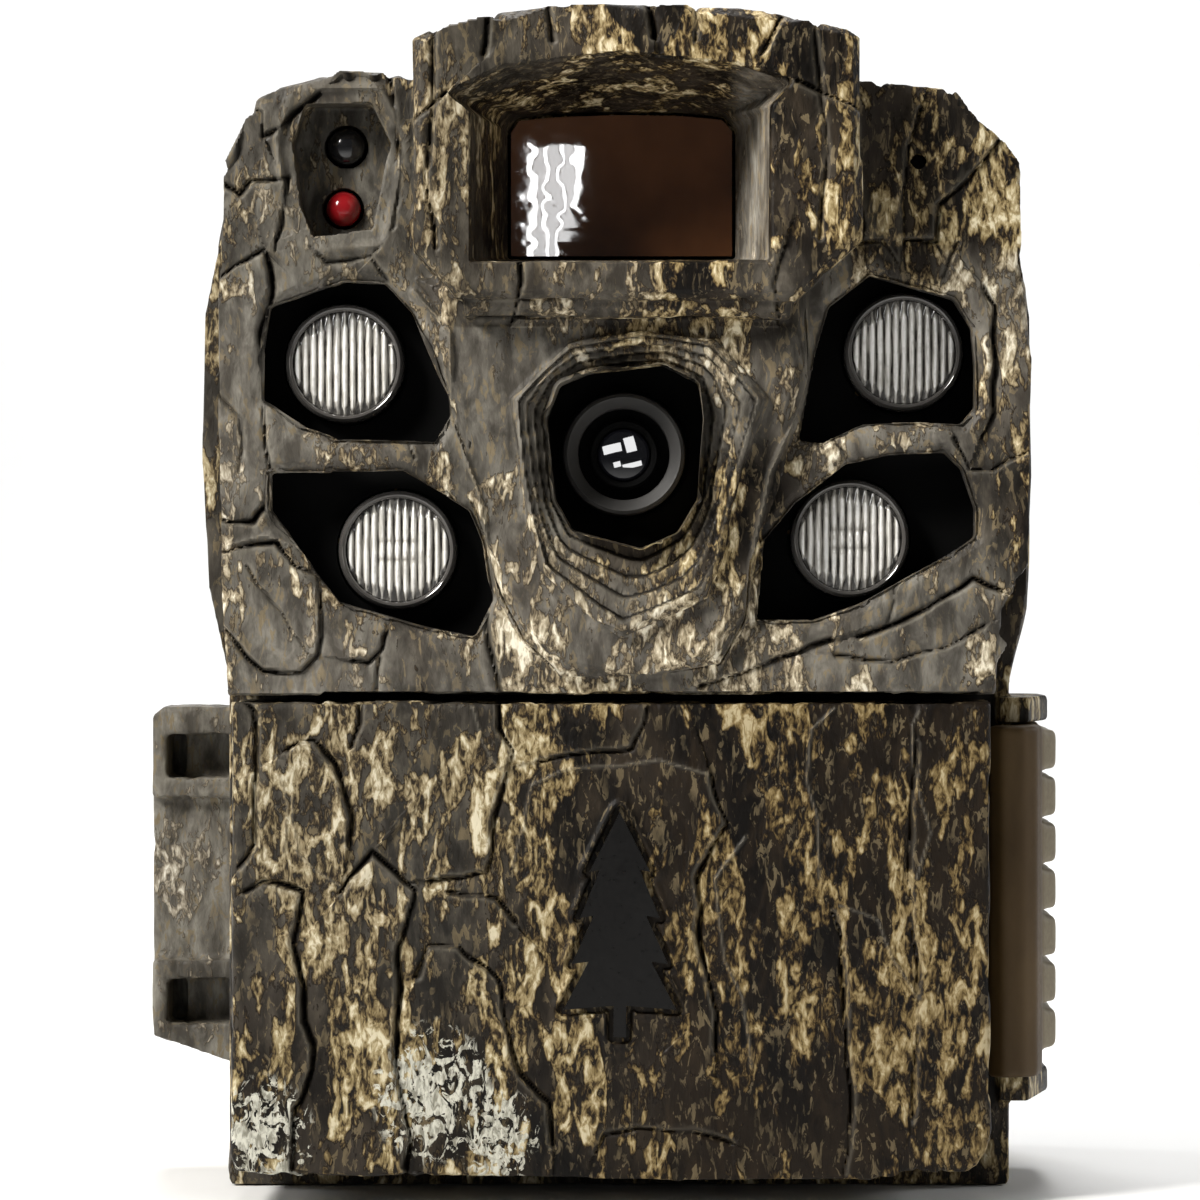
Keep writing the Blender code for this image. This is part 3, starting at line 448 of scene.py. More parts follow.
def open_shell(node, name, voxel_mm):
    """The dense copy, its points in mm, its normals, and the points as seen from the front."""
    obj = dense_copy(node, name, voxel_mm)
    points, normals = points_and_normals(obj)
    return obj, points, normals, points[:, [0, 2]]


def apply_modifiers(obj):
    graph = bpy.context.evaluated_depsgraph_get()
    made = bpy.data.meshes.new_from_object(obj.evaluated_get(graph))
    old = obj.data
    obj.modifiers.clear()
    obj.data = made
    made.name = obj.name
    bpy.data.meshes.remove(old)


def thin_out(obj, faces):
    """Collapses flat areas until the mesh has about this many triangles."""
    triangles = sum(len(p.vertices) - 2 for p in obj.data.polygons)
    if triangles <= faces:
        return
    decimate = obj.modifiers.new("thin", "DECIMATE")
    decimate.ratio = faces / triangles
    decimate.use_collapse_triangulate = True
    apply_modifiers(obj)


def points_and_normals(obj):
    count = len(obj.data.vertices)
    points = np.zeros(count * 3)
    obj.data.vertices.foreach_get("co", points)
    normals = np.zeros(count * 3)
    obj.data.vertex_normals.foreach_get("vector", normals)
    return points.reshape(-1, 3) / MM, normals.reshape(-1, 3)


def put_points(obj, points):
    obj.data.vertices.foreach_set("co", (points * MM).astype(np.float32).ravel())
    obj.data.update()


def put_masks(obj, **masks):
    """Stores a value for each point under each name. A material reads 0 for a name that a shell lacks."""
    for name, values in masks.items():
        layer = obj.data.attributes.new(name, "FLOAT", "POINT")
        layer.data.foreach_set("value", values.astype(np.float32))


def shade(obj, sharp_deg=38):
    obj.data.polygons.foreach_set("use_smooth", np.ones(len(obj.data.polygons), bool))
    obj.data.update()
    obj.data.set_sharp_from_angle(angle=math.radians(sharp_deg))


def bark_sides(points, scale, seed):
    """Plates, furrows and fibres for walls that carry no drawn cracks: sink in mm, and the groove mask, which
    the material uses as painted shade.
    """
    bent = points + 1.3 * np.stack([
        value_noise(points, (5, 5, 7), seed + 1),
        value_noise(points, (5, 5, 7), seed + 2),
        2.2 * value_noise(points, (5, 5, 7), seed + 3),
    ], axis=1)
    border, owner = cell_edges(bent, scale, seed)
    groove = bell(border, 0.055)
    lift = (owner - 0.5) * 0.5 * smooth(0.0, 0.16, border)
    return lift - 0.55 * groove, groove


def fibres(points, seed):
    """Fine vertical wood fibre and small pits, in mm."""
    fine = value_noise(points, (0.8, 0.8, 3.4), seed)
    coarse = fractal(points, (2.2, 2.2, 6.0), 3, seed + 5)
    return 0.045 * fine + 0.11 * coarse


def distance_to(node, points, chosen):
    """Distance in mm seen from the front, from the chosen points to the outline of a CAD node."""
    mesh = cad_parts[node].data
    flat = [(v.co.x, 0, v.co.z) for v in mesh.vertices]
    tree = BVHTree.FromPolygons(flat, [tuple(p.vertices) for p in mesh.polygons if abs(p.normal.y) > 0.5])
    found = np.full(len(points), 99.0)
    for i in np.nonzero(chosen)[0]:
        spot = tree.find_nearest(Vector((points[i, 0] * MM, 0, points[i, 2] * MM)), 0.003)
        if spot[0] is not None:
            found[i] = spot[3] / MM
    return found


def finish_shell(obj, body, node, faces, mat):
    thin_out(obj, faces)
    shade(obj)
    obj.data.materials.clear()
    obj.data.materials.append(mat)
    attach(obj, body)
    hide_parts(node)


# Patches of lichen on the door: middle and half sizes
LICHEN = [(-34, 6, 5, 6.5), (-18, 10.6, 6, 7), (-11.5, 6.5, 4, 5)]
# Outlines seen from the front: the inside of the head, its hood, its lamp openings and its recess
HEAD_INNER = [
    (-35.3, 51.3), (33.4, 51.3), (33.8, 58.6), (36.4, 62.3), (36.5, 88), (35.4, 96.6), (32.6, 101.1),
    (28.6, 103.3), (-28.6, 103.5), (-32.4, 101.2), (-35.3, 96.5), (-35.6, 88), (-35.5, 60),
]
HOOD_MOUTH = [
    (-14.4, 89.7), (14.4, 89.7), (14.4, 104.4), (16.6, 106.9), (11.4, 108.6), (0, 109.7), (-11.2, 108.4),
    (-16.6, 105.8), (-14.4, 104),
]
LAMP_OPENINGS = [
    [(-34.2, 76.9), (-30, 74.2), (-26.9, 73.2), (-17.7, 73), (-16.3, 75.5), (-16.5, 77.4), (-19.9, 85.4),
     (-22.5, 88.2), (-26.4, 88.4), (-33.5, 85.9), (-34.3, 81)],
    [(-33.6, 66.4), (-30.7, 62.5), (-26.9, 57.6), (-19.2, 55.4), (-13.9, 54.3), (-12.2, 57.8), (-13, 63.3),
     (-14.3, 66.4), (-20.8, 70.2), (-33.5, 70.1)],
    [(17.2, 73.1), (19.4, 72.9), (23.4, 74.7), (28.6, 74.9), (32.7, 74.7), (34, 76.2), (34, 80.3),
     (33.7, 83.9), (32, 86.6), (24, 88.9), (20.1, 85.9), (18.8, 81.5)],
    [(13.2, 55.9), (18.5, 55.9), (23.1, 57.5), (31.6, 62.2), (34, 63.8), (34, 66.6), (32.7, 70.4),
     (31.1, 71.9), (25.9, 71.7), (21.7, 70.8), (16.9, 67.1), (13.9, 63.5)],
]
RECESS = [
    (-29.6, 92.4), (-23.4, 93), (-21.7, 101.7), (-23.7, 105.6), (-30.3, 105.6), (-31.6, 101.8),
    (-30.8, 95.5),
]
# Places along Y in the head: the back of its front wall, the face, the brow, the hood and its lip
WALL_Y, FACE_Y, BROW_Y, HOOD_Y, HOOD_LIP_Y = -23.9, -27.2, -27.6, -30.0, -32.4
# The ends of its hollows, and how far back the terraces and the nose's ridges reach
TUNNEL_BACK_Y, RECESS_BACK_Y, RECESS_FRONT_Y, RING_Y, NOSE_Y = -16.0, -20.2, -25.6, -24.0, -25.0
# Heights of the hood's foot, of the band beside it, and of its tunnel
HOOD_FOOT_Z, BAND_Z, HOOD_BASE_Z = 83.8, 88, 91
TERRACES, TERRACE_DROP = 4.6, 0.62
# Share of the normal that points to the front, where the front's relief starts and where it is full
FACING = (0.25, 0.7)


def lens_terraces(xz, warp, zone):
    """Steps that fall towards the lens: height in mm, a painted highlight mask for their edges, and a painted
    shade mask for the lines below them.
    """
    outer, _ = to_path(xz + warp * 0.35, RING_OUTER, closed=True)
    inner, _ = to_path(xz + warp * 0.35, RING_INNER, closed=True)
    stair = np.where(zone, outer / np.maximum(outer + inner, 1e-6), 0) * TERRACES
    tread = stair - np.floor(stair)
    height = np.where(zone, -TERRACE_DROP * (np.floor(stair) + smooth(0.74, 0.98, tread)), 0)
    return height, bell(tread - 0.66, 0.10) * zone, bell(tread - 0.93, 0.12) * zone


def lamp_chamfers(xz):
    """1 at the edge of each lamp opening, 0 from one millimetre outside it."""
    chamfer = np.zeros(len(xz))
    for outline in LAMP_OPENINGS:
        d, _ = to_path(xz, outline, closed=True)
        chamfer = np.maximum(chamfer, np.clip(1.0 - d, 0, 1) * ~inside(xz, outline))
    return chamfer


def make_head(mat, voxel, faces):
    obj, points, normals, xz = open_shell("head_shell", "head_bark", voxel)
    x, z = xz.T
    y = points[:, 1].copy()
    warp = drift(points)
    facing = smooth(*FACING, -normals[:, 1])
    inner = inside(xz, HEAD_INNER) & (y > WALL_Y)
    tunnel = inside(xz, HOOD_MOUTH) & (y > HOOD_LIP_Y) & (y < TUNNEL_BACK_Y)
    recess = inside(xz, RECESS) & (y > RECESS_FRONT_Y) & (y < RECESS_BACK_Y)
    skin = ~(inner | tunnel | recess)
    is_hood = (y < HOOD_Y) | ((y < BROW_Y) & (z > HOOD_FOOT_Z))

    on_face, on_hood = furrow(xz, HEAD_CRACKS, warp), furrow(xz, HOOD_CRACKS, warp)
    sink, groove, rim = [np.where(is_hood, hood, face) for hood, face in zip(on_hood, on_face)]
    vein = ridges(xz + warp * 0.5, HEAD_VEINS, 0.12)

    ring_zone = inside(xz + warp * 0.5, RING_OUTER) & (y < RING_Y)
    bowl, tread_edge, tread_line = lens_terraces(xz, warp, ring_zone)
    sink = np.where(ring_zone, sink * 0.25, sink)
    # the terraces' edges get painted highlights and the lines below them painted shade
    groove = np.where(ring_zone, np.maximum(groove * 0.3, 0.9 * tread_line), groove)
    rim = np.where(ring_zone, 0.8 * tread_edge, rim)
    ridge = ridges(xz + warp * 0.3, NOSE_RIDGES, 0.22) * ~is_hood * (y < NOSE_Y)

    # a raised collar round the recess, whose edge gets a painted highlight
    to_recess, _ = to_path(xz, RECESS, closed=True)
    collar = bell(to_recess - 1.25, 0.42) * ((y < WALL_Y) & (y > FACE_Y)) * ~inside(xz, RECESS)
    sink = sink * (1 - collar) + 0.42 * collar
    rim = np.maximum(rim, 0.6 * collar)
    chamfer = lamp_chamfers(xz) * ((y < WALL_Y) & ~is_hood)
    sink = sink * (1 - chamfer) - 0.55 * chamfer

    side_sink, side_groove = bark_sides(points, (9, 9, 20), 11)
    grain = fibres(points, 21)
    lumps = 0.22 * fractal(points, (7, 7, 10), 2, 31)
    front_height = np.clip(sink + 0.5 * ridge + 0.2 * vein + bowl + lumps * ~ring_zone + grain, -3.2, 0.55)
    side_height = np.clip(side_sink + grain + 0.6 * lumps, -0.8, 0.25)
    points[:, 1] -= np.where(skin, facing * front_height, 0)
    points += normals * np.where(skin, (1 - facing) * side_height * 0.8, 0.35 * grain)[:, None]
    put_points(obj, points)

    # painted sheen greys the print on the left, on the hood's left and in patches of the nose; quiet where it
    # has few flakes; painted light makes the print paler, most on the lit tunnel wall; painted shade darkens
    # the hood
    # the right wall of the hood's tunnel, which the key lamp lights: it gets painted sheen and painted light
    lit_wall = tunnel * smooth(10.0, 12.0, x)
    patchy = smooth(-0.3, 0.5, value_noise(points, (8, 8, 12), 91))
    left_slate = 0.85 * smooth(-17.0, -24.0, x) * (0.6 + 0.4 * patchy)
    nose_slate = 0.62 * smooth(-0.5, 0.25, value_noise(points, (7, 7, 11), 92)) * (z < HOOD_BASE_Z)
    hood_slate = 0.45 * is_hood * smooth(4.0, -14.0, x)
    quiet = 0.05 + 0.42 * smooth(-12.0, -20.0, x) + 0.30 * value_noise(points, (6, 6, 10), 93)
    pale = np.where(is_hood, 0.45 * smooth(-14.0, -6.0, x), 0.30 + 0.18 * smooth(-16.0, -8.0, x))
    pale = np.where(x < -16.5, np.where(z > BAND_Z, 0.10, 0.40), pale)
    pale = np.where((x > 22) & (z > BAND_Z), 0.2, pale)
    put_masks(
        obj,
        # groove is painted shade in cracks and grooves; rim is a painted highlight on crack edges, nose
        # ridges, veins and the collar
        groove=np.where(skin, facing * groove + (1 - facing) * side_groove * 0.8, 0),
        rim=np.where(skin, facing * np.clip(rim + ridge + vein, 0, 1), 0),
        bare=inner & ~tunnel & ~recess,
        # these masks paint sheen, light and shade onto the print
        slate=np.maximum.reduce([left_slate, lit_wall, hood_slate, nose_slate]),
        calm=np.maximum(0.9 * lit_wall, np.clip(quiet - 0.25 * is_hood, 0, 1)),
        pale=np.where(lit_wall > 0.5, 0.9, pale),
        dusk=0.45 * is_hood,
    )
    finish_shell(obj, "housing", "head_shell", faces, mat)


DOOR_FRONT_Y = -24.6
DOOR_SIDES, DOOR_ENDS = (-36.2, 34.2), (4.6, 46.8)
EMBLEM_BED, LIP_AT, LIP_WIDTH, LIP_HEIGHT = -0.25, 0.85, 0.30, 0.30


def make_door(mat, voxel, faces):
    obj, points, normals, xz = open_shell("front_door", "door_bark", voxel)
    x, z = xz.T
    warp = drift(points)
    facing = smooth(*FACING, -normals[:, 1])
    front = points[:, 1] < DOOR_FRONT_Y
    outer = front | (x < DOOR_SIDES[0]) | (x > DOOR_SIDES[1]) | (z > DOOR_ENDS[1]) | (z < DOOR_ENDS[0])
    sink, groove, rim = furrow(xz, DOOR_CRACKS, warp)
    vein = ridges(xz + warp * 0.5, DOOR_VEINS, 0.12)
    side_sink, side_groove = bark_sides(points, (9, 9, 20), 12)
    grain = fibres(points, 22)
    lumps = 0.2 * fractal(points, (7, 7, 12), 2, 32)

    # the plate round the emblem is smoother, and a small lip frames the emblem itself
    plate = inside(xz, EMBLEM_PLATE)
    to_plate_edge, _ = to_path(xz, EMBLEM_PLATE, closed=True)
    dish = np.where(plate, smooth(0, 2.2, to_plate_edge), 0)
    height = np.clip(sink + 0.22 * vein + (lumps + grain) * (1 - 0.6 * dish), -1.1, 0.45)
    height = np.where(dish > 0.5, np.minimum(height, 0.05), height)
    to_emblem = distance_to("door_emblem", points, plate & front)
    lip = bell(to_emblem - LIP_AT, LIP_WIDTH)
    height = height * (1 - lip) + LIP_HEIGHT * lip
    height = np.where(to_emblem < 0.55, EMBLEM_BED, height)
    points[:, 1] -= np.where(front, facing * height, 0)
    side_height = np.clip(0.5 * side_sink + grain, -0.45, 0.15)
    points += normals * np.where(outer, (1 - facing) * side_height, 0)[:, None]
    put_points(obj, points)

    lichen = np.zeros(len(points))
    for at_x, at_z, half_width, half_height in LICHEN:
        lichen = np.maximum(lichen, 1 - np.hypot((x - at_x) / half_width, (z - at_z) / half_height))
    put_masks(
        obj,
        # groove is painted shade in cracks and grooves; rim is a painted highlight on crack edges and veins
        groove=np.where(outer, facing * groove + (1 - facing) * side_groove * 0.6, 0),
        rim=np.where(front, facing * np.clip(rim + vein, 0, 1), 0),
        lichen=np.clip(lichen, 0, 1) * front,
        bare=~outer,
        # painted sheen greys the upper left, and painted shade darkens and browns the right side
        slate=0.30 * smooth(-2.0, -22.0, x) * smooth(10, 34, z),
        dusk=smooth(-16.0, 10.0, x + 6 * fractal(points, (6, 6, 12), 2, 71)),
    )
    finish_shell(obj, "door", "front_door", faces, mat)


# The housing's outer skin, and the parts of it that stay plain because another piece sits close to them
SKIN_X, SKIN_Y, SKIN_Z, CORNER_X, CORNER_Z = 37.2, 27.6, 103.4, 34, 97
SEAM_Y, WING_X, WING_TOP_Z = -9.9, -39.2, 48


def make_housing(mat, voxel, faces):
    obj, points, normals, _ = open_shell("rear_housing", "housing_bark", voxel)
    x, y, z = points.T
    outer = (np.abs(x) > SKIN_X) | (y > SKIN_Y) | (z > SKIN_Z) | ((np.abs(x) > CORNER_X) & (z > CORNER_Z))
    near_ear = (x > 36.5) & (z > 7) & (z < 49.5) & (y < 12)
    near_plate = (y > 28) & (np.abs(x) < 30) & (z > 53) & (z < 97.5)
    clear = smooth(SEAM_Y, -8.6, y) * smooth(0.2, 1.6, z) * ~near_ear * ~near_plate * (y > SEAM_Y)
    wing = (x < WING_X) & (z < WING_TOP_Z)
    side_sink, side_groove = bark_sides(points, (11, 11, 26), 13)
    grain = fibres(points, 23)
    lumps = 0.3 * fractal(points, (8, 8, 14), 2, 33)
    height = np.clip(side_sink * np.where(wing, 0.25, 1.0) + grain + lumps * ~wing, -0.9, 0.35)
    points += normals * (outer * clear * height)[:, None]
    put_points(obj, points)
    cluster = 1.0 - smooth(3.0, 7.5, np.abs(z - 27.5 + 0.6 * (x + 43.0)))
    put_masks(
        obj,
        # groove is painted shade in the grooves
        groove=outer * clear * side_groove * np.where(wing, 0.2, 0.9),
        bare=~outer,
        # painted sheen greys the left side and the wing, and painted light makes the wing paler
        slate=np.where(wing, 0.95, 0.25 * smooth(0, -20, x)),
        pale=np.where(wing, 0.12, 0.0),
        calm=np.where(wing, 1.0 - 0.9 * cluster, 0.0),
    )
    finish_shell(obj, "housing", "rear_housing", faces, mat)


# ---------------------------------------------------------------- material helpers

class Graph:
    """A short way to build a node tree: each call adds a node and gives its output."""

    def __init__(self, name):
        self.material = bpy.data.materials.new(name)
        self.material.use_nodes = True
        self.tree = self.material.node_tree
        self.shader = self.tree.nodes["Principled BSDF"]

    def wire(self, value, socket):
        if isinstance(value, bpy.types.NodeSocket):
            self.tree.links.new(value, socket)
        else:
            socket.default_value = value

    def node(self, kind, inputs=None, **settings):
        made = self.tree.nodes.new(kind)
        for key, value in settings.items():
            setattr(made, key, value)
        for key, value in (inputs or {}).items():
            self.wire(value, made.inputs[key])
        return made

    def object_mm(self, stretch=(1, 1, 1)):
        """Object coordinates in millimetres, each divided by a stretch."""
        coords = self.tree.nodes.new("ShaderNodeTexCoord").outputs["Object"]
        scale = [1000 / s for s in stretch]
        return self.node("ShaderNodeMapping", {"Vector": coords, "Scale": scale}).outputs[0]

    def noise(self, size_mm, detail=4.0, rough=0.55, distort=0.0):
        """Noise with features of about this size in millimetres along each axis."""
        inputs = {"Vector": self.object_mm(size_mm), "Scale": 1.0}
        inputs.update({"Detail": detail, "Roughness": rough, "Distortion": distort})
        return self.node("ShaderNodeTexNoise", inputs).outputs["Fac"]

    def ramp(self, value, *stops):
        """Stops are (position, grey or colour)."""
        made = self.node("ShaderNodeValToRGB", {"Fac": value})
        elements = made.color_ramp.elements
        while len(elements) < len(stops):
            elements.new(0.5)
        for element, (position, colour) in zip(elements, stops):
            element.position = position
            element.color = (*colour, 1) if isinstance(colour, tuple) else (colour, colour, colour, 1)
        return made.outputs["Color"]

    def mix(self, share, a, b, blend="MIX"):
        """Colour a, or b where the share is 1."""
        made = self.node("ShaderNodeMix", data_type="RGBA", blend_type=blend)
        self.wire(share, made.inputs[0])
        for value, socket in ((a, made.inputs[6]), (b, made.inputs[7])):
            self.wire((*value, 1) if isinstance(value, tuple) and len(value) == 3 else value, socket)
        return made.outputs[2]

    def tint(self, colour, factor):
        return self.mix(1.0, colour, factor, "MULTIPLY")

    def maths(self, operation, a, b, clamp=False):
        made = self.node("ShaderNodeMath", operation=operation, use_clamp=clamp)
        self.wire(a, made.inputs[0])
        self.wire(b, made.inputs[1])
        return made.outputs[0]

    def plus(self, a, b):
        return self.maths("ADD", a, b)

    def minus(self, a, b):
        return self.maths("SUBTRACT", a, b)

    def times(self, a, b, clamp=False):
        return self.maths("MULTIPLY", a, b, clamp)

    def attribute(self, name):
        return self.node("ShaderNodeAttribute", attribute_name=name).outputs["Fac"]

    def bump(self, height, strength, distance_mm):
        inputs = {"Height": height, "Strength": strength, "Distance": distance_mm * MM}
        return self.node("ShaderNodeBump", inputs).outputs[0]

    def set(self, **inputs):
        for key, value in inputs.items():
            socket = self.shader.inputs[key.replace("_", " ")]
            if isinstance(value, tuple) and len(value) == 3 and key == "Base_Color":
                value = (*value, 1)
            self.wire(value, socket)
        return self.material


def bark_material():
    """Printed bark: dark ground, clusters of upright tan flakes, and pale lichen where its mask says, with
    painted sheen, light, shade and highlights from the other masks.
    """
    g = Graph("printed_bark")
    patch = g.noise((6.0, 6.0, 15), 2.5, 0.5, 0.6)
    patch_b = g.noise((3.4, 3.4, 8), 2, 0.5, 0.4)
    flake = g.noise((1.5, 1.5, 3.4), 3, 0.55, 1.0)
    fine = g.noise((0.50, 0.50, 1.15), 3, 0.6, 0.7)
    tone = g.noise((10, 10, 15), 2, 0.5, 0.2)
    soil = g.noise((2.0, 2.0, 4.5), 4, 0.6, 0.4)

    # dark ground, greyed by painted sheen, and darkened and browned by painted shade
    ground = g.ramp(
        tone, (0.40, (0.004, 0.003, 0.002)), (0.50, (0.011, 0.0085, 0.006)), (0.60, (0.030, 0.024, 0.018))
    )
    ground = g.mix(g.ramp(soil, (0.47, 0.0), (0.72, 0.65)), ground, (0.070, 0.054, 0.036))
    slate = g.ramp(
        soil, (0.38, (0.062, 0.056, 0.046)), (0.52, (0.132, 0.122, 0.102)), (0.66, (0.225, 0.213, 0.180))
    )
    ground = g.mix(g.attribute("slate"), ground, slate)
    ground = g.mix(g.attribute("dusk"), ground, g.tint(ground, (0.42, 0.35, 0.27)))
    # flakes gather in upright patches, and thin out where it is calm
    area = g.ramp(patch, (0.475, 0.0), (0.530, 1.0))
    area_b = g.ramp(patch_b, (0.55, 0.0), (0.61, 1.0))
    where = g.maths("MAXIMUM", area, g.times(area_b, 0.8))
    level = g.plus(g.times(flake, 0.62), g.times(fine, 0.38))
    level = g.plus(level, g.times(g.minus(where, 0.88), 0.19))
    level = g.minus(level, g.times(g.attribute("calm"), 0.10))
    level = g.minus(level, g.times(g.attribute("dusk"), 0.012))
    # the darkest stop rims each flake with a painted shadow
    flakes = g.ramp(
        level, (0.450, (0.005, 0.003, 0.002)), (0.482, (0.034, 0.023, 0.012)), (0.512, (0.125, 0.088, 0.037)),
        (0.548, (0.270, 0.205, 0.098)), (0.590, (0.430, 0.350, 0.195)), (0.640, (0.680, 0.610, 0.430)),
    )
    # painted sheen greys the flakes, and painted shade darkens them
    worn_flakes = g.node("ShaderNodeRGBToBW", {"Color": flakes}).outputs[0]
    flakes = g.mix(g.times(g.attribute("slate"), 0.55), flakes, worn_flakes)
    flakes = g.mix(g.attribute("dusk"), flakes, g.tint(flakes, (0.74, 0.69, 0.60)))
    edge = g.minus(level, g.times(g.attribute("slate"), 0.055))
    cover = g.ramp(edge, (0.425, 0.0), (0.450, 1.0))
    # small flecks lie between them, and painted light makes the whole print paler where the pale mask says
    fleck = g.noise((0.75, 0.75, 1.9), 3, 0.6, 0.8)
    flecked = g.times(g.ramp(fleck, (0.555, 0.0), (0.59, 0.75)), g.ramp(soil, (0.40, 0.15), (0.56, 1.0)))
    base = g.mix(flecked, ground, (0.165, 0.128, 0.072))
    base = g.mix(cover, base, flakes)
    base = g.mix(g.attribute("pale"), base, g.tint(base, (2.0, 2.0, 2.05)))

    lichen_noise = g.noise((1.3, 1.3, 1.9), 4, 0.62, 1.4)
    lichen = g.ramp(g.plus(lichen_noise, g.times(g.attribute("lichen"), 0.20)), (0.575, 0.0), (0.60, 1.0))
    lichen = g.times(lichen, g.ramp(g.attribute("lichen"), (0.0, 0.0), (0.12, 1.0)))
    base = g.mix(lichen, base, g.ramp(fine, (0.38, (0.26, 0.25, 0.20)), (0.56, (0.66, 0.65, 0.56))))

    # painted highlights make crack edges, ridges and veins paler, painted shade makes grooves dark, and inner
    # faces are plain black
    base = g.mix(g.times(g.attribute("rim"), 0.35, True), base, (0.26, 0.235, 0.185))
    base = g.mix(g.times(g.attribute("groove"), 1.2, True), base, (0.004, 0.003, 0.002))
    base = g.mix(g.attribute("bare"), base, (0.010, 0.009, 0.008))

    rough = g.ramp(fine, (0.3, 0.40), (0.7, 0.60))
    height = g.plus(g.times(cover, 0.3), g.times(level, 2.2))
    height = g.plus(height, g.times(lichen, 0.5))
    normal = g.bump(height, 0.8, 0.10)
    return g.set(Base_Color=base, Roughness=rough, Normal=normal, Specular_IOR_Level=0.18)


def moulded(name, colour, rough, grain_mm, wear, bump, gloss=0.5):
    """Moulded surface with fine grain, cloudy tone and small roughness changes."""
    g = Graph(name)
    cloud = g.noise((9, 9, 9), 3)
    grain = g.noise((grain_mm, grain_mm, grain_mm), 3, 0.6)
    darker = tuple(c * (1 - wear) for c in colour)
    lighter = tuple(c * (1 + wear * 1.6) + 0.01 * wear for c in colour)
    base = g.ramp(g.plus(g.times(cloud, 0.6), g.times(grain, 0.4)), (0.35, darker), (0.65, lighter))
    roughness = g.ramp(grain, (0.3, rough - 0.07), (0.7, rough + 0.07))
    normal = g.bump(grain, bump, 0.04)
    return g.set(Base_Color=base, Roughness=roughness, Normal=normal, Specular_IOR_Level=gloss)


def board_material():
    """Green solder mask with fine tracks, pads and vias."""
    g = Graph("circuit_board")
    brick = g.node(
        "ShaderNodeTexBrick",
        {"Vector": g.object_mm((1, 1, 1)), "Scale": 0.16, "Mortar Size": 0.012, "Bias": -0.2},
    )
    tracks = g.ramp(brick.outputs["Fac"], (0.0, 0.0), (0.6, 1.0))
    spots = g.node("ShaderNodeTexVoronoi", {"Vector": g.object_mm((2.6, 2.6, 2.6)), "Scale": 1.0})
    pads = g.ramp(spots.outputs["Distance"], (0.10, 1.0), (0.13, 0.0))
    cloud = g.noise((6, 6, 6), 3)
    base = g.ramp(cloud, (0.35, (0.004, 0.036, 0.014)), (0.65, (0.008, 0.060, 0.024)))
    base = g.mix(g.times(tracks, 0.6), base, (0.014, 0.100, 0.040))
    base = g.mix(pads, base, (0.62, 0.50, 0.22))
    height = g.plus(tracks, pads)
    return g.set(
        Base_Color=base, Roughness=g.ramp(cloud, (0.3, 0.26), (0.7, 0.40)), Metallic=g.times(pads, 0.9),
        Normal=g.bump(height, 0.4, 0.04),
    )


# Heights on a cell as shares of its span: where the sleeve starts, changes colour and ends
CELL_SPAN_MM, SLEEVE_FOOT, SLEEVE_BAND, SLEEVE_TOP = 60, 0.060, 0.62, 0.866


def cell_material():
    """A printed sleeve in two plain colours, with bare metal at the ends."""
    g = Graph("cell_sleeve")
    coords = g.tree.nodes.new("ShaderNodeTexCoord").outputs["Object"]
    up = g.times(g.node("ShaderNodeSeparateXYZ", {"Vector": coords}).outputs["Z"], 1 / (CELL_SPAN_MM * MM))
    scuff = g.noise((1.5, 1.5, 6), 4, 0.6)
    band = g.ramp(up, (SLEEVE_BAND, 0.0), (SLEEVE_BAND + 0.002, 1.0))
    sleeve = g.mix(band, (0.012, 0.013, 0.016), (0.42, 0.16, 0.045))
    sleeve = g.mix(g.ramp(scuff, (0.56, 0.0), (0.72, 0.35)), sleeve, (0.30, 0.30, 0.29))
    ends = g.ramp(
        up, (SLEEVE_FOOT, 1.0), (SLEEVE_FOOT + 0.0005, 0.0), (SLEEVE_TOP, 0.0), (SLEEVE_TOP + 0.001, 1.0)
    )
    base = g.mix(ends, sleeve, (0.62, 0.62, 0.60))
    return g.set(
        Base_Color=base, Metallic=ends, Roughness=g.ramp(scuff, (0.3, 0.22), (0.7, 0.38)),
        Normal=g.bump(scuff, 0.2, 0.03), Coat_Weight=0.3,
    )


def brushed(name, colour, stretch=(0.3, 0.3, 5.0), rough=0.32):
    """Machined metal with fine lines along one direction."""
    g = Graph(name)
    lines = g.noise(stretch, 3, 0.6)
    cloud = g.noise((4, 4, 4), 3)
    darker = tuple(c * 0.72 for c in colour)
    base = g.ramp(g.plus(g.times(lines, 0.6), g.times(cloud, 0.4)), (0.35, darker), (0.65, colour))
    return g.set(
        Base_Color=base, Metallic=1.0, Roughness=g.ramp(cloud, (0.3, rough - 0.08), (0.7, rough + 0.1)),
        Normal=g.bump(lines, 0.2, 0.02),
    )


def glossy_dark(name, colour, rough=0.04, cloud_share=0.25):
    """Dark glass or polished plastic with faint cloudiness and dust."""
    g = Graph(name)
    cloud = g.noise((7, 7, 9), 3)
    dust = g.ramp(g.noise((0.22, 0.22, 0.22), 2), (0.70, 0.0), (0.76, 0.12))
    darker = tuple(c * (1 - cloud_share) for c in colour)
    lighter = tuple(c * (1 + cloud_share) for c in colour)
    base = g.mix(dust, g.ramp(cloud, (0.3, darker), (0.7, lighter)), (0.20, 0.19, 0.17))
    roughness = g.ramp(cloud, (0.3, rough), (0.7, rough + 0.03))
    normal = g.bump(dust, 0.03, 0.01)
    return g.set(Base_Color=base, Roughness=roughness, Coat_Weight=0.6, Coat_Roughness=0.02, Normal=normal)


def film_material():
    """Amber film with faint clouds and hardly any texture, so that it mirrors sharply."""
    g = Graph("amber_film")
    cloud = g.noise((7, 7, 9), 3)
    tint = g.ramp(cloud, (0.3, (0.125, 0.050, 0.018)), (0.7, (0.205, 0.080, 0.029)))
    grain = g.noise((0.5, 0.5, 0.5), 2)
    return g.set(Base_Color=tint, Roughness=g.ramp(grain, (0.3, 0.004), (0.7, 0.020)), Specular_IOR_Level=0.6)


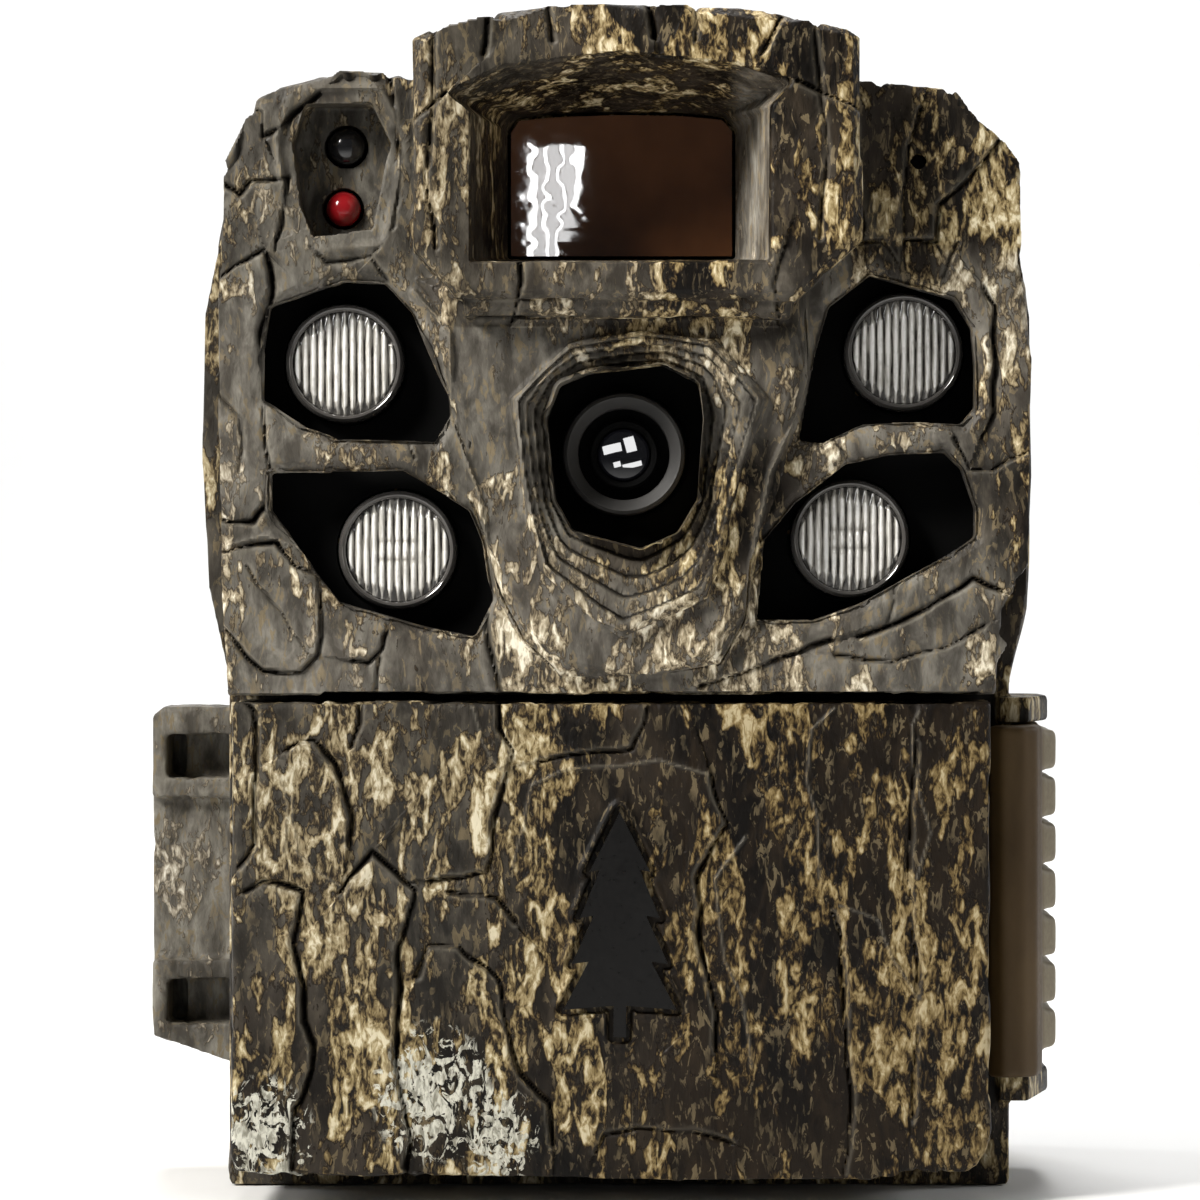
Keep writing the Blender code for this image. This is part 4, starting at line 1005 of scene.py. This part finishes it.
def flute_material():
    """Bright fluted optic: painted highlights make the crests silver, the flanks are grey, and painted shade
    makes the valleys dark.
    """
    g = Graph("fluted_optic")
    crest_highlight = g.attribute("crest_highlight")
    patchy = g.noise((1.2, 1.2, 1.6), 3, 0.6)
    streak = g.noise((0.25, 0.25, 3.0), 2, 0.5)
    share = g.plus(crest_highlight, g.times(g.minus(streak, 0.5), 0.9))
    base = g.ramp(
        share, (0.06, (0.035, 0.032, 0.028)), (0.22, (0.30, 0.285, 0.255)),
        (0.48, (0.62, 0.60, 0.55)), (0.70, (0.98, 0.97, 0.94)),
    )
    base = g.mix(g.ramp(patchy, (0.50, 0.0), (0.72, 0.45)), base, (0.30, 0.28, 0.25))
    return g.set(
        Base_Color=base, Metallic=0.12, Roughness=g.ramp(patchy, (0.3, 0.10), (0.7, 0.22)), Coat_Weight=0.8,
        Coat_Roughness=0.05, Normal=g.bump(streak, 0.25, 0.02),
    )


def paint(node, mat):
    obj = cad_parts[node]
    if len(obj.material_slots):
        for slot in obj.material_slots:
            slot.material = mat
    else:
        obj.data.materials.append(mat)


# ---------------------------------------------------------------- turned and moulded pieces

def turned_mesh(bm, profile, centre, segments=72, material=0):
    """Revolves (radius, y) points, from back to front, about an axis along Y through centre (x, z)."""
    rings = []
    for radius, depth in profile:
        if radius <= 1e-6:
            rings.append([bm.verts.new((centre[0] * MM, depth * MM, centre[1] * MM))])
            continue
        ring = []
        for k in range(segments):
            a = 2 * math.pi * k / segments
            x, z = centre[0] + radius * math.cos(a), centre[1] + radius * math.sin(a)
            ring.append(bm.verts.new((x * MM, depth * MM, z * MM)))
        rings.append(ring)
    closed = profile[0][0] > 1e-6
    pairs = list(zip(rings, rings[1:])) + ([(rings[-1], rings[0])] if closed else [])
    for low, high in pairs:
        for k in range(segments):
            j = (k + 1) % segments
            corners = [low[k % len(low)], low[j % len(low)], high[j % len(high)], high[k % len(high)]]
            corners = list(dict.fromkeys(corners))
            if len(corners) > 2:
                bm.faces.new(corners).material_index = material


def piece(name, bm, body, nodes, slot_name, *materials, sharp_deg=35):
    bmesh.ops.recalc_face_normals(bm, faces=bm.faces)
    mesh = bpy.data.meshes.new(name)
    bm.to_mesh(mesh)
    bm.free()
    obj = link(bpy.data.objects.new(name, mesh))
    for mat in materials:
        mesh.materials.append(mat)
    shade(obj, sharp_deg)
    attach(obj, body)
    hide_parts(*nodes)
    return obj


def centre_of(node):
    low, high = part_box(node)
    return ((low.x + high.x) / 2 / MM, (low.z + high.z) / 2 / MM)


def dome(radius, base_y, rim_y, top_y, rings=7):
    """Profile of a round stem with a domed top that faces the front."""
    points = [(0, base_y), (radius, base_y), (radius, rim_y)]
    for k in range(1, rings):
        a = math.pi / 2 * k / rings
        points.append((radius * math.cos(a), rim_y + (top_y - rim_y) * math.sin(a)))
    return points + [(0, top_y)]


# The lamp cover's rim as (radius, y), and its optic: a shallow dome with upright flutes
LAMP_RIM = [
    (4.98, -19.0), (5.74, -19.0), (5.74, -22.3), (5.62, -22.8), (5.35, -23.1), (5.12, -23.0), (5.0, -22.6),
]
OPTIC_R, OPTIC_BACK_Y, OPTIC_RIM_Y, OPTIC_CROWN = 4.95, -19.4, -22.35, 0.35
FLUTES, COLUMNS_PER_FLUTE, FLUTE_ROWS, FLUTE_DEPTH = 13, 10, 44, 0.34
CHIP_HALF_X, CHIP_HALF_Z = 2.0, 1.9


def flute_height(u, t, x, z, has_chip):
    """Height of the flutes from 0 to 1, and a share that differs between them. u and t run from -1 to 1."""
    phase = (u * 0.5 + 0.5) * FLUTES
    wave = 0.5 - 0.5 * math.cos(2 * math.pi * phase)
    jitter = hashed(int(phase), math.floor(t + 1), int(has_chip) * 7, 5)
    fade = min(1.0, max(0.0, (1 - abs(t) - 0.06 * jitter) / (0.10 + 0.16 * jitter)))
    height = wave ** (0.8 + 4.5 * (1 - fade)) * (0.35 + 0.65 * fade)
    if has_chip and abs(x) < CHIP_HALF_X and abs(z) < CHIP_HALF_Z:
        height *= 0.45 + 0.55 * abs(math.cos(z * 1.75))
    return height, fade, jitter


def make_lamp(name, ring_mat, optic_mat, has_chip):
    """A clear lamp cover: a smoked rim round a domed, fluted optic. The lower lamps show their chip."""
    node = "lamp_lens_" + name
    cx, cz = centre_of(node)
    bm = bmesh.new()
    turned_mesh(bm, LAMP_RIM, (cx, cz))
    crest_highlight_layer = bm.verts.layers.float.new("crest_highlight")
    columns = FLUTES * COLUMNS_PER_FLUTE
    grid = []
    for i in range(columns + 1):
        u = -1 + 2 * i / columns
        x = OPTIC_R * 0.998 * u
        half = math.sqrt(OPTIC_R**2 - x**2)
        column = []
        for j in range(FLUTE_ROWS + 1):
            t = -1 + 2 * j / FLUTE_ROWS
            z = half * t
            height, fade, jitter = flute_height(u, t, x, z, has_chip)
            away = (x * x + z * z) / OPTIC_R**2
            y = OPTIC_RIM_Y - OPTIC_CROWN * (1 - away) - FLUTE_DEPTH * height * (0.55 + 0.45 * fade)
            vert = bm.verts.new(((cx + x) * MM, y * MM, (cz + z) * MM))
            # this value sets the painted highlight on the optic's crests
            vert[crest_highlight_layer] = height * (1 - 0.25 * away) * (0.72 + 0.28 * jitter)
            column.append(vert)
        grid.append(column)
    for left, right in zip(grid, grid[1:]):
        for j in range(FLUTE_ROWS):
            bm.faces.new((left[j], left[j + 1], right[j + 1], right[j])).material_index = 1
    # the sides and the back of the optic close it
    border = [c[0] for c in grid] + grid[-1][1:-1] + [c[-1] for c in reversed(grid)] + grid[0][-2:0:-1]
    back = [bm.verts.new((v.co.x, OPTIC_BACK_Y * MM, v.co.z)) for v in border]
    for k in range(len(border)):
        j = (k + 1) % len(border)
        bm.faces.new((border[k], border[j], back[j], back[k])).material_index = 1
    bm.faces.new(back).material_index = 1
    return piece("lamp_" + name, bm, "housing", [node], "glass", ring_mat, optic_mat, sharp_deg=60)


# Lens profiles as (radius, y), from back to front
BARREL = [
    (4.40, -13.3), (5.0, -13.3), (5.0, -19.4), (5.88, -20.2), (5.88, -24.9), (5.75, -25.3), (5.45, -25.5),
    (5.2, -25.35), (4.75, -24.7), (4.50, -24.55), (4.40, -24.35),
]
COLLAR = [
    (2.64, -13.3), (4.38, -13.3), (4.38, -22.2), (3.40, -22.2), (3.30, -23.5), (3.15, -23.75),
    (2.85, -23.7), (2.64, -23.3),
]
GLASS_STEM = [(0, -19.6), (2.6, -19.6), (2.6, -22.2)]
GLASS_R, GLASS_RIM_Y, GLASS_CURVE_R, GLASS_RINGS, LENS_SEGMENTS = 2.45, -22.5, 9.0, 12, 96


def make_lens(barrel_mat, collar_mat, glass_mat):
    """A round barrel, a sunken black ring inside it, and a collar that holds the glass."""
    centre = centre_of("lens_barrel")
    bm = bmesh.new()
    turned_mesh(bm, BARREL, centre, LENS_SEGMENTS)
    turned_mesh(bm, COLLAR, centre, LENS_SEGMENTS, material=1)
    piece("lens_tube", bm, "housing", ["lens_barrel"], "black_plastic", barrel_mat, collar_mat)
    crown_y = GLASS_RIM_Y - GLASS_CURVE_R + math.sqrt(GLASS_CURVE_R**2 - GLASS_R**2)
    glass = list(GLASS_STEM)
    for k in range(GLASS_RINGS + 1):
        r = GLASS_R * (1 - k / GLASS_RINGS)
        glass.append((r, crown_y + GLASS_CURVE_R - math.sqrt(GLASS_CURVE_R**2 - r**2)))
    bm = bmesh.new()
    turned_mesh(bm, glass, centre, LENS_SEGMENTS)
    return piece("front_element", bm, "housing", ["objective_lens"], "glass", glass_mat)


DOME_RIM_Y = -21.2


def make_sensors(sensor_mat, red_mat):
    for node, name, slot_name, mat in (
        ("light_sensor", "light_sensor_dome", "black_plastic", sensor_mat),
        ("indicator_lens", "indicator_dome", "red", red_mat),
    ):
        low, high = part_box(node)
        radius = (high.x - low.x) / 2 / MM
        bm = bmesh.new()
        turned_mesh(bm, dome(radius, high.y / MM, DOME_RIM_Y, low.y / MM), centre_of(node), 48)
        piece(name, bm, "housing", [node], slot_name, mat)


FILM_COLUMNS, FILM_ROWS, FILM_INSET = 216, 138, 0.02
# Waves in the film: height in mm, size in mm, where the pattern is read, and its seed
FILM_WAVES = [(0.0013, (2.2, 1, 2.4), (40, 0, 9), 3), (0.0007, (1.3, 1, 0.9), (0, 0, 0), 8)]


def make_window(mat):
    """The motion sensor's film: a thin sheet with a faintly wavy front, so that its mirror image wavers."""
    low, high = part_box("pir_window")
    corners = [(v.co.x / MM, v.co.z / MM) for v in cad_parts["pir_window"].data.vertices]
    hull = [corners[k] for k in convex_hull_2d(corners)]
    front = []
    for x in np.linspace(low.x / MM, high.x / MM, FILM_COLUMNS):
        z0, z1 = span_at(hull, x)
        front.append([(x, z0 + (z1 - z0) * j / (FILM_ROWS - 1)) for j in range(FILM_ROWS)])
    flat = np.array([(x, 0.0, z) for column in front for x, z in column])
    ys = np.full(len(flat), low.y / MM + FILM_INSET)
    for height, size, offset, seed in FILM_WAVES:
        ys += height * value_noise(flat + [offset], size, seed)
    ys = ys.reshape(FILM_COLUMNS, FILM_ROWS)
    bm = bmesh.new()
    front_verts, back_verts = [], []
    for column, column_ys in zip(front, ys):
        front_verts.append([bm.verts.new((x * MM, y * MM, z * MM)) for y, (x, z) in zip(column_ys, column)])
        back_verts.append([bm.verts.new((x * MM, high.y, z * MM)) for x, z in (column[0], column[-1])])
    for a, b in zip(front_verts, front_verts[1:]):
        for j in range(FILM_ROWS - 1):
            bm.faces.new((a[j], a[j + 1], b[j + 1], b[j]))
    for (a, b), (c, d) in zip(zip(front_verts, back_verts), zip(front_verts[1:], back_verts[1:])):
        bm.faces.new((a[0], c[0], d[0], b[0]))
        bm.faces.new((a[-1], b[1], d[1], c[-1]))
        bm.faces.new((b[0], d[0], d[1], b[1]))
    for verts, ends in ((front_verts[0], back_verts[0]), (front_verts[-1], back_verts[-1])):
        bm.faces.new(verts + [ends[1], ends[0]])
    return piece("sensor_film", bm, "housing", ["pir_window"], "amber", mat, sharp_deg=50)


def span_at(outline, x):
    """Lowest and highest z of a convex outline at this x."""
    found = []
    for (x0, z0), (x1, z1) in zip(outline, outline[1:] + outline[:1]):
        if min(x0, x1) - 1e-6 <= x <= max(x0, x1) + 1e-6 and abs(x1 - x0) > 1e-9:
            found.append(z0 + (z1 - z0) * (x - x0) / (x1 - x0))
    return min(found), max(found)


RIB_PITCH, RIB_HALF, RIB_COUNT, RIB_X = 4.6, 1.7, 7, 41.5
RIB_STRETCH, SOFTEN_MM, BRACKET_FOOT_Y = 0.42, 5.0, 31.3


def make_latch(mat, voxel, faces):
    """The lever with its corners rubbed round. Its ribs are wide pads with narrow gaps between them."""
    obj, points, _, _ = open_shell("latch_lever", "latch_grip", voxel)
    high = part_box("latch_lever")[1]
    first = high.z / MM - 2.4
    nearest = first - RIB_PITCH * np.clip(np.round((first - points[:, 2]) / RIB_PITCH), 0, RIB_COUNT - 1)
    past = points[:, 2] - nearest
    on_rib = smooth(RIB_X - 0.25, RIB_X, points[:, 0]) * (np.abs(past) < RIB_HALF)
    points[:, 2] += past * RIB_STRETCH * on_rib
    put_points(obj, points)
    soften = obj.modifiers.new("soften", "SMOOTH")
    soften.factor = 0.5
    soften.iterations = int(SOFTEN_MM / voxel)
    apply_modifiers(obj)
    points, normals = points_and_normals(obj)
    points += normals * (0.10 + 0.05 * fractal(points, (3, 3, 5), 2, 51))[:, None]
    points[:, 0] = np.minimum(points[:, 0], high.x / MM)
    put_points(obj, points)
    # the outer side of the ribs gets a painted highlight
    put_masks(obj, worn=smooth(RIB_X, RIB_X + 0.7, points[:, 0]))
    finish_shell(obj, "latch", "latch_lever", faces, mat)


def make_bracket(mat, voxel, faces):
    obj, points, normals, _ = open_shell("tree_bracket", "bracket_bark", voxel)
    height = np.clip(fibres(points, 61) + 0.12 * fractal(points, (6, 6, 12), 2, 62), -0.25, 0.08)
    points += normals * (height * (points[:, 1] >= BRACKET_FOOT_Y))[:, None]
    put_points(obj, points)
    finish_shell(obj, "housing", "tree_bracket", faces, mat)


def latch_material():
    """Smooth olive-brown grip whose ribs are made paler by a painted highlight."""
    g = Graph("olive_grip")
    cloud = g.noise((5, 5, 14), 3)
    grain = g.noise((0.3, 0.3, 0.5), 3, 0.6)
    base = g.ramp(cloud, (0.35, (0.058, 0.034, 0.012)), (0.65, (0.092, 0.058, 0.024)))
    # painted highlight on the ribs
    worn = g.times(g.attribute("worn"), g.ramp(grain, (0.2, 0.7), (0.7, 1.0)), True)
    base = g.mix(worn, base, (0.27, 0.235, 0.17))
    rough = g.ramp(grain, (0.3, 0.44), (0.7, 0.58))
    return g.set(Base_Color=base, Roughness=rough, Normal=g.bump(grain, 0.25, 0.03), Specular_IOR_Level=0.22)


# ---------------------------------------------------------------- build

VOXEL_MM, QUICK_VOXEL_MM, COARSER = 0.22, 0.36, 1.5


def main():
    add_camera()
    add_floor()
    add_studio()
    voxel = VOXEL_MM
    bark = bark_material()
    make_head(bark, voxel, 190000)
    make_door(bark, voxel, 170000)
    make_housing(bark, voxel * COARSER, 150000)
    make_bracket(bark, voxel * COARSER, 110000)
    make_latch(latch_material(), voxel, 60000)

    black = moulded("moulded_black", (0.010, 0.010, 0.010), 0.55, 0.3, 0.25, 0.3)
    matt = moulded("matt_black", (0.0018, 0.0018, 0.0018), 0.8, 0.35, 0.2, 0.2, gloss=0.08)
    satin = moulded("satin_black", (0.0045, 0.0042, 0.004), 0.34, 0.4, 0.15, 0.1, gloss=0.28)
    tube = moulded("lens_tube_black", (0.026, 0.025, 0.024), 0.62, 0.25, 0.2, 0.15)
    rubber = moulded("seal_rubber", (0.018, 0.018, 0.018), 0.85, 0.5, 0.2, 0.3)
    grey = moulded("button_grey", (0.16, 0.16, 0.155), 0.6, 0.4, 0.15, 0.2)
    smoked = glossy_dark("smoked_clear", (0.060, 0.056, 0.052), 0.06, 0.2)
    optic = flute_material()
    glass = glossy_dark("coated_glass", (0.003, 0.003, 0.004), 0.015, 0.3)
    film = film_material()
    red = glossy_dark("red_dome", (0.30, 0.008, 0.012), 0.12, 0.3)
    screen = glossy_dark("display_glass", (0.006, 0.008, 0.011), 0.05, 0.2)
    chip = moulded("lamp_chip", (0.55, 0.48, 0.20), 0.35, 0.3, 0.2, 0.2)
    steel = brushed("bright_steel", (0.56, 0.55, 0.53))
    chrome = brushed("reflector_chrome", (0.75, 0.75, 0.74), (0.8, 0.8, 0.8), 0.14)
    brass = brushed("turned_brass", (0.60, 0.42, 0.16), (1.5, 0.3, 1.5))
    board = board_material()
    cell = cell_material()

    optics = []
    for name in ("upper_left", "lower_left", "upper_right", "lower_right"):
        optics.append(make_lamp(name, smoked, optic, name.startswith("lower")))
        paint("lamp_reflector_" + name, chrome)
        paint("lamp_led_" + name, chip)
    front_element = make_lens(tube, matt, glass)
    make_sensors(glossy_dark("sensor_black", (0.010, 0.010, 0.011), 0.16, 0.3), red)
    sensor_film = make_window(film)
    add_reflections(sensor_film, front_element, optics)

    finishes = {
        black: ["control_panel", "battery_tray", "microphone", "door_liner"],
        matt: ["inner_fascia", "lens_shroud"],
        satin: ["door_emblem"],
        rubber: ["head_gasket", "door_gasket"],
        grey: ["button_" + side for side in ("up", "down", "left", "right", "enter")] + ["mode_switch"],
        board: [part + "_board" for part in ("camera", "main", "display", "contact")]
        + ["lamp_board_left", "lamp_board_right"],
        steel: ["card_socket", "hinge_pin", "latch_pin", "pir_sensor"]
        + ["bracket_screw_%d" % number for number in range(1, 5)],
        brass: ["tripod_insert"],
        cell: ["battery_%d" % number for number in range(1, 7)],
        screen: ["screen", "image_sensor"],
    }
    for mat, nodes in finishes.items():
        for node in nodes:
            paint(node, mat)


main()
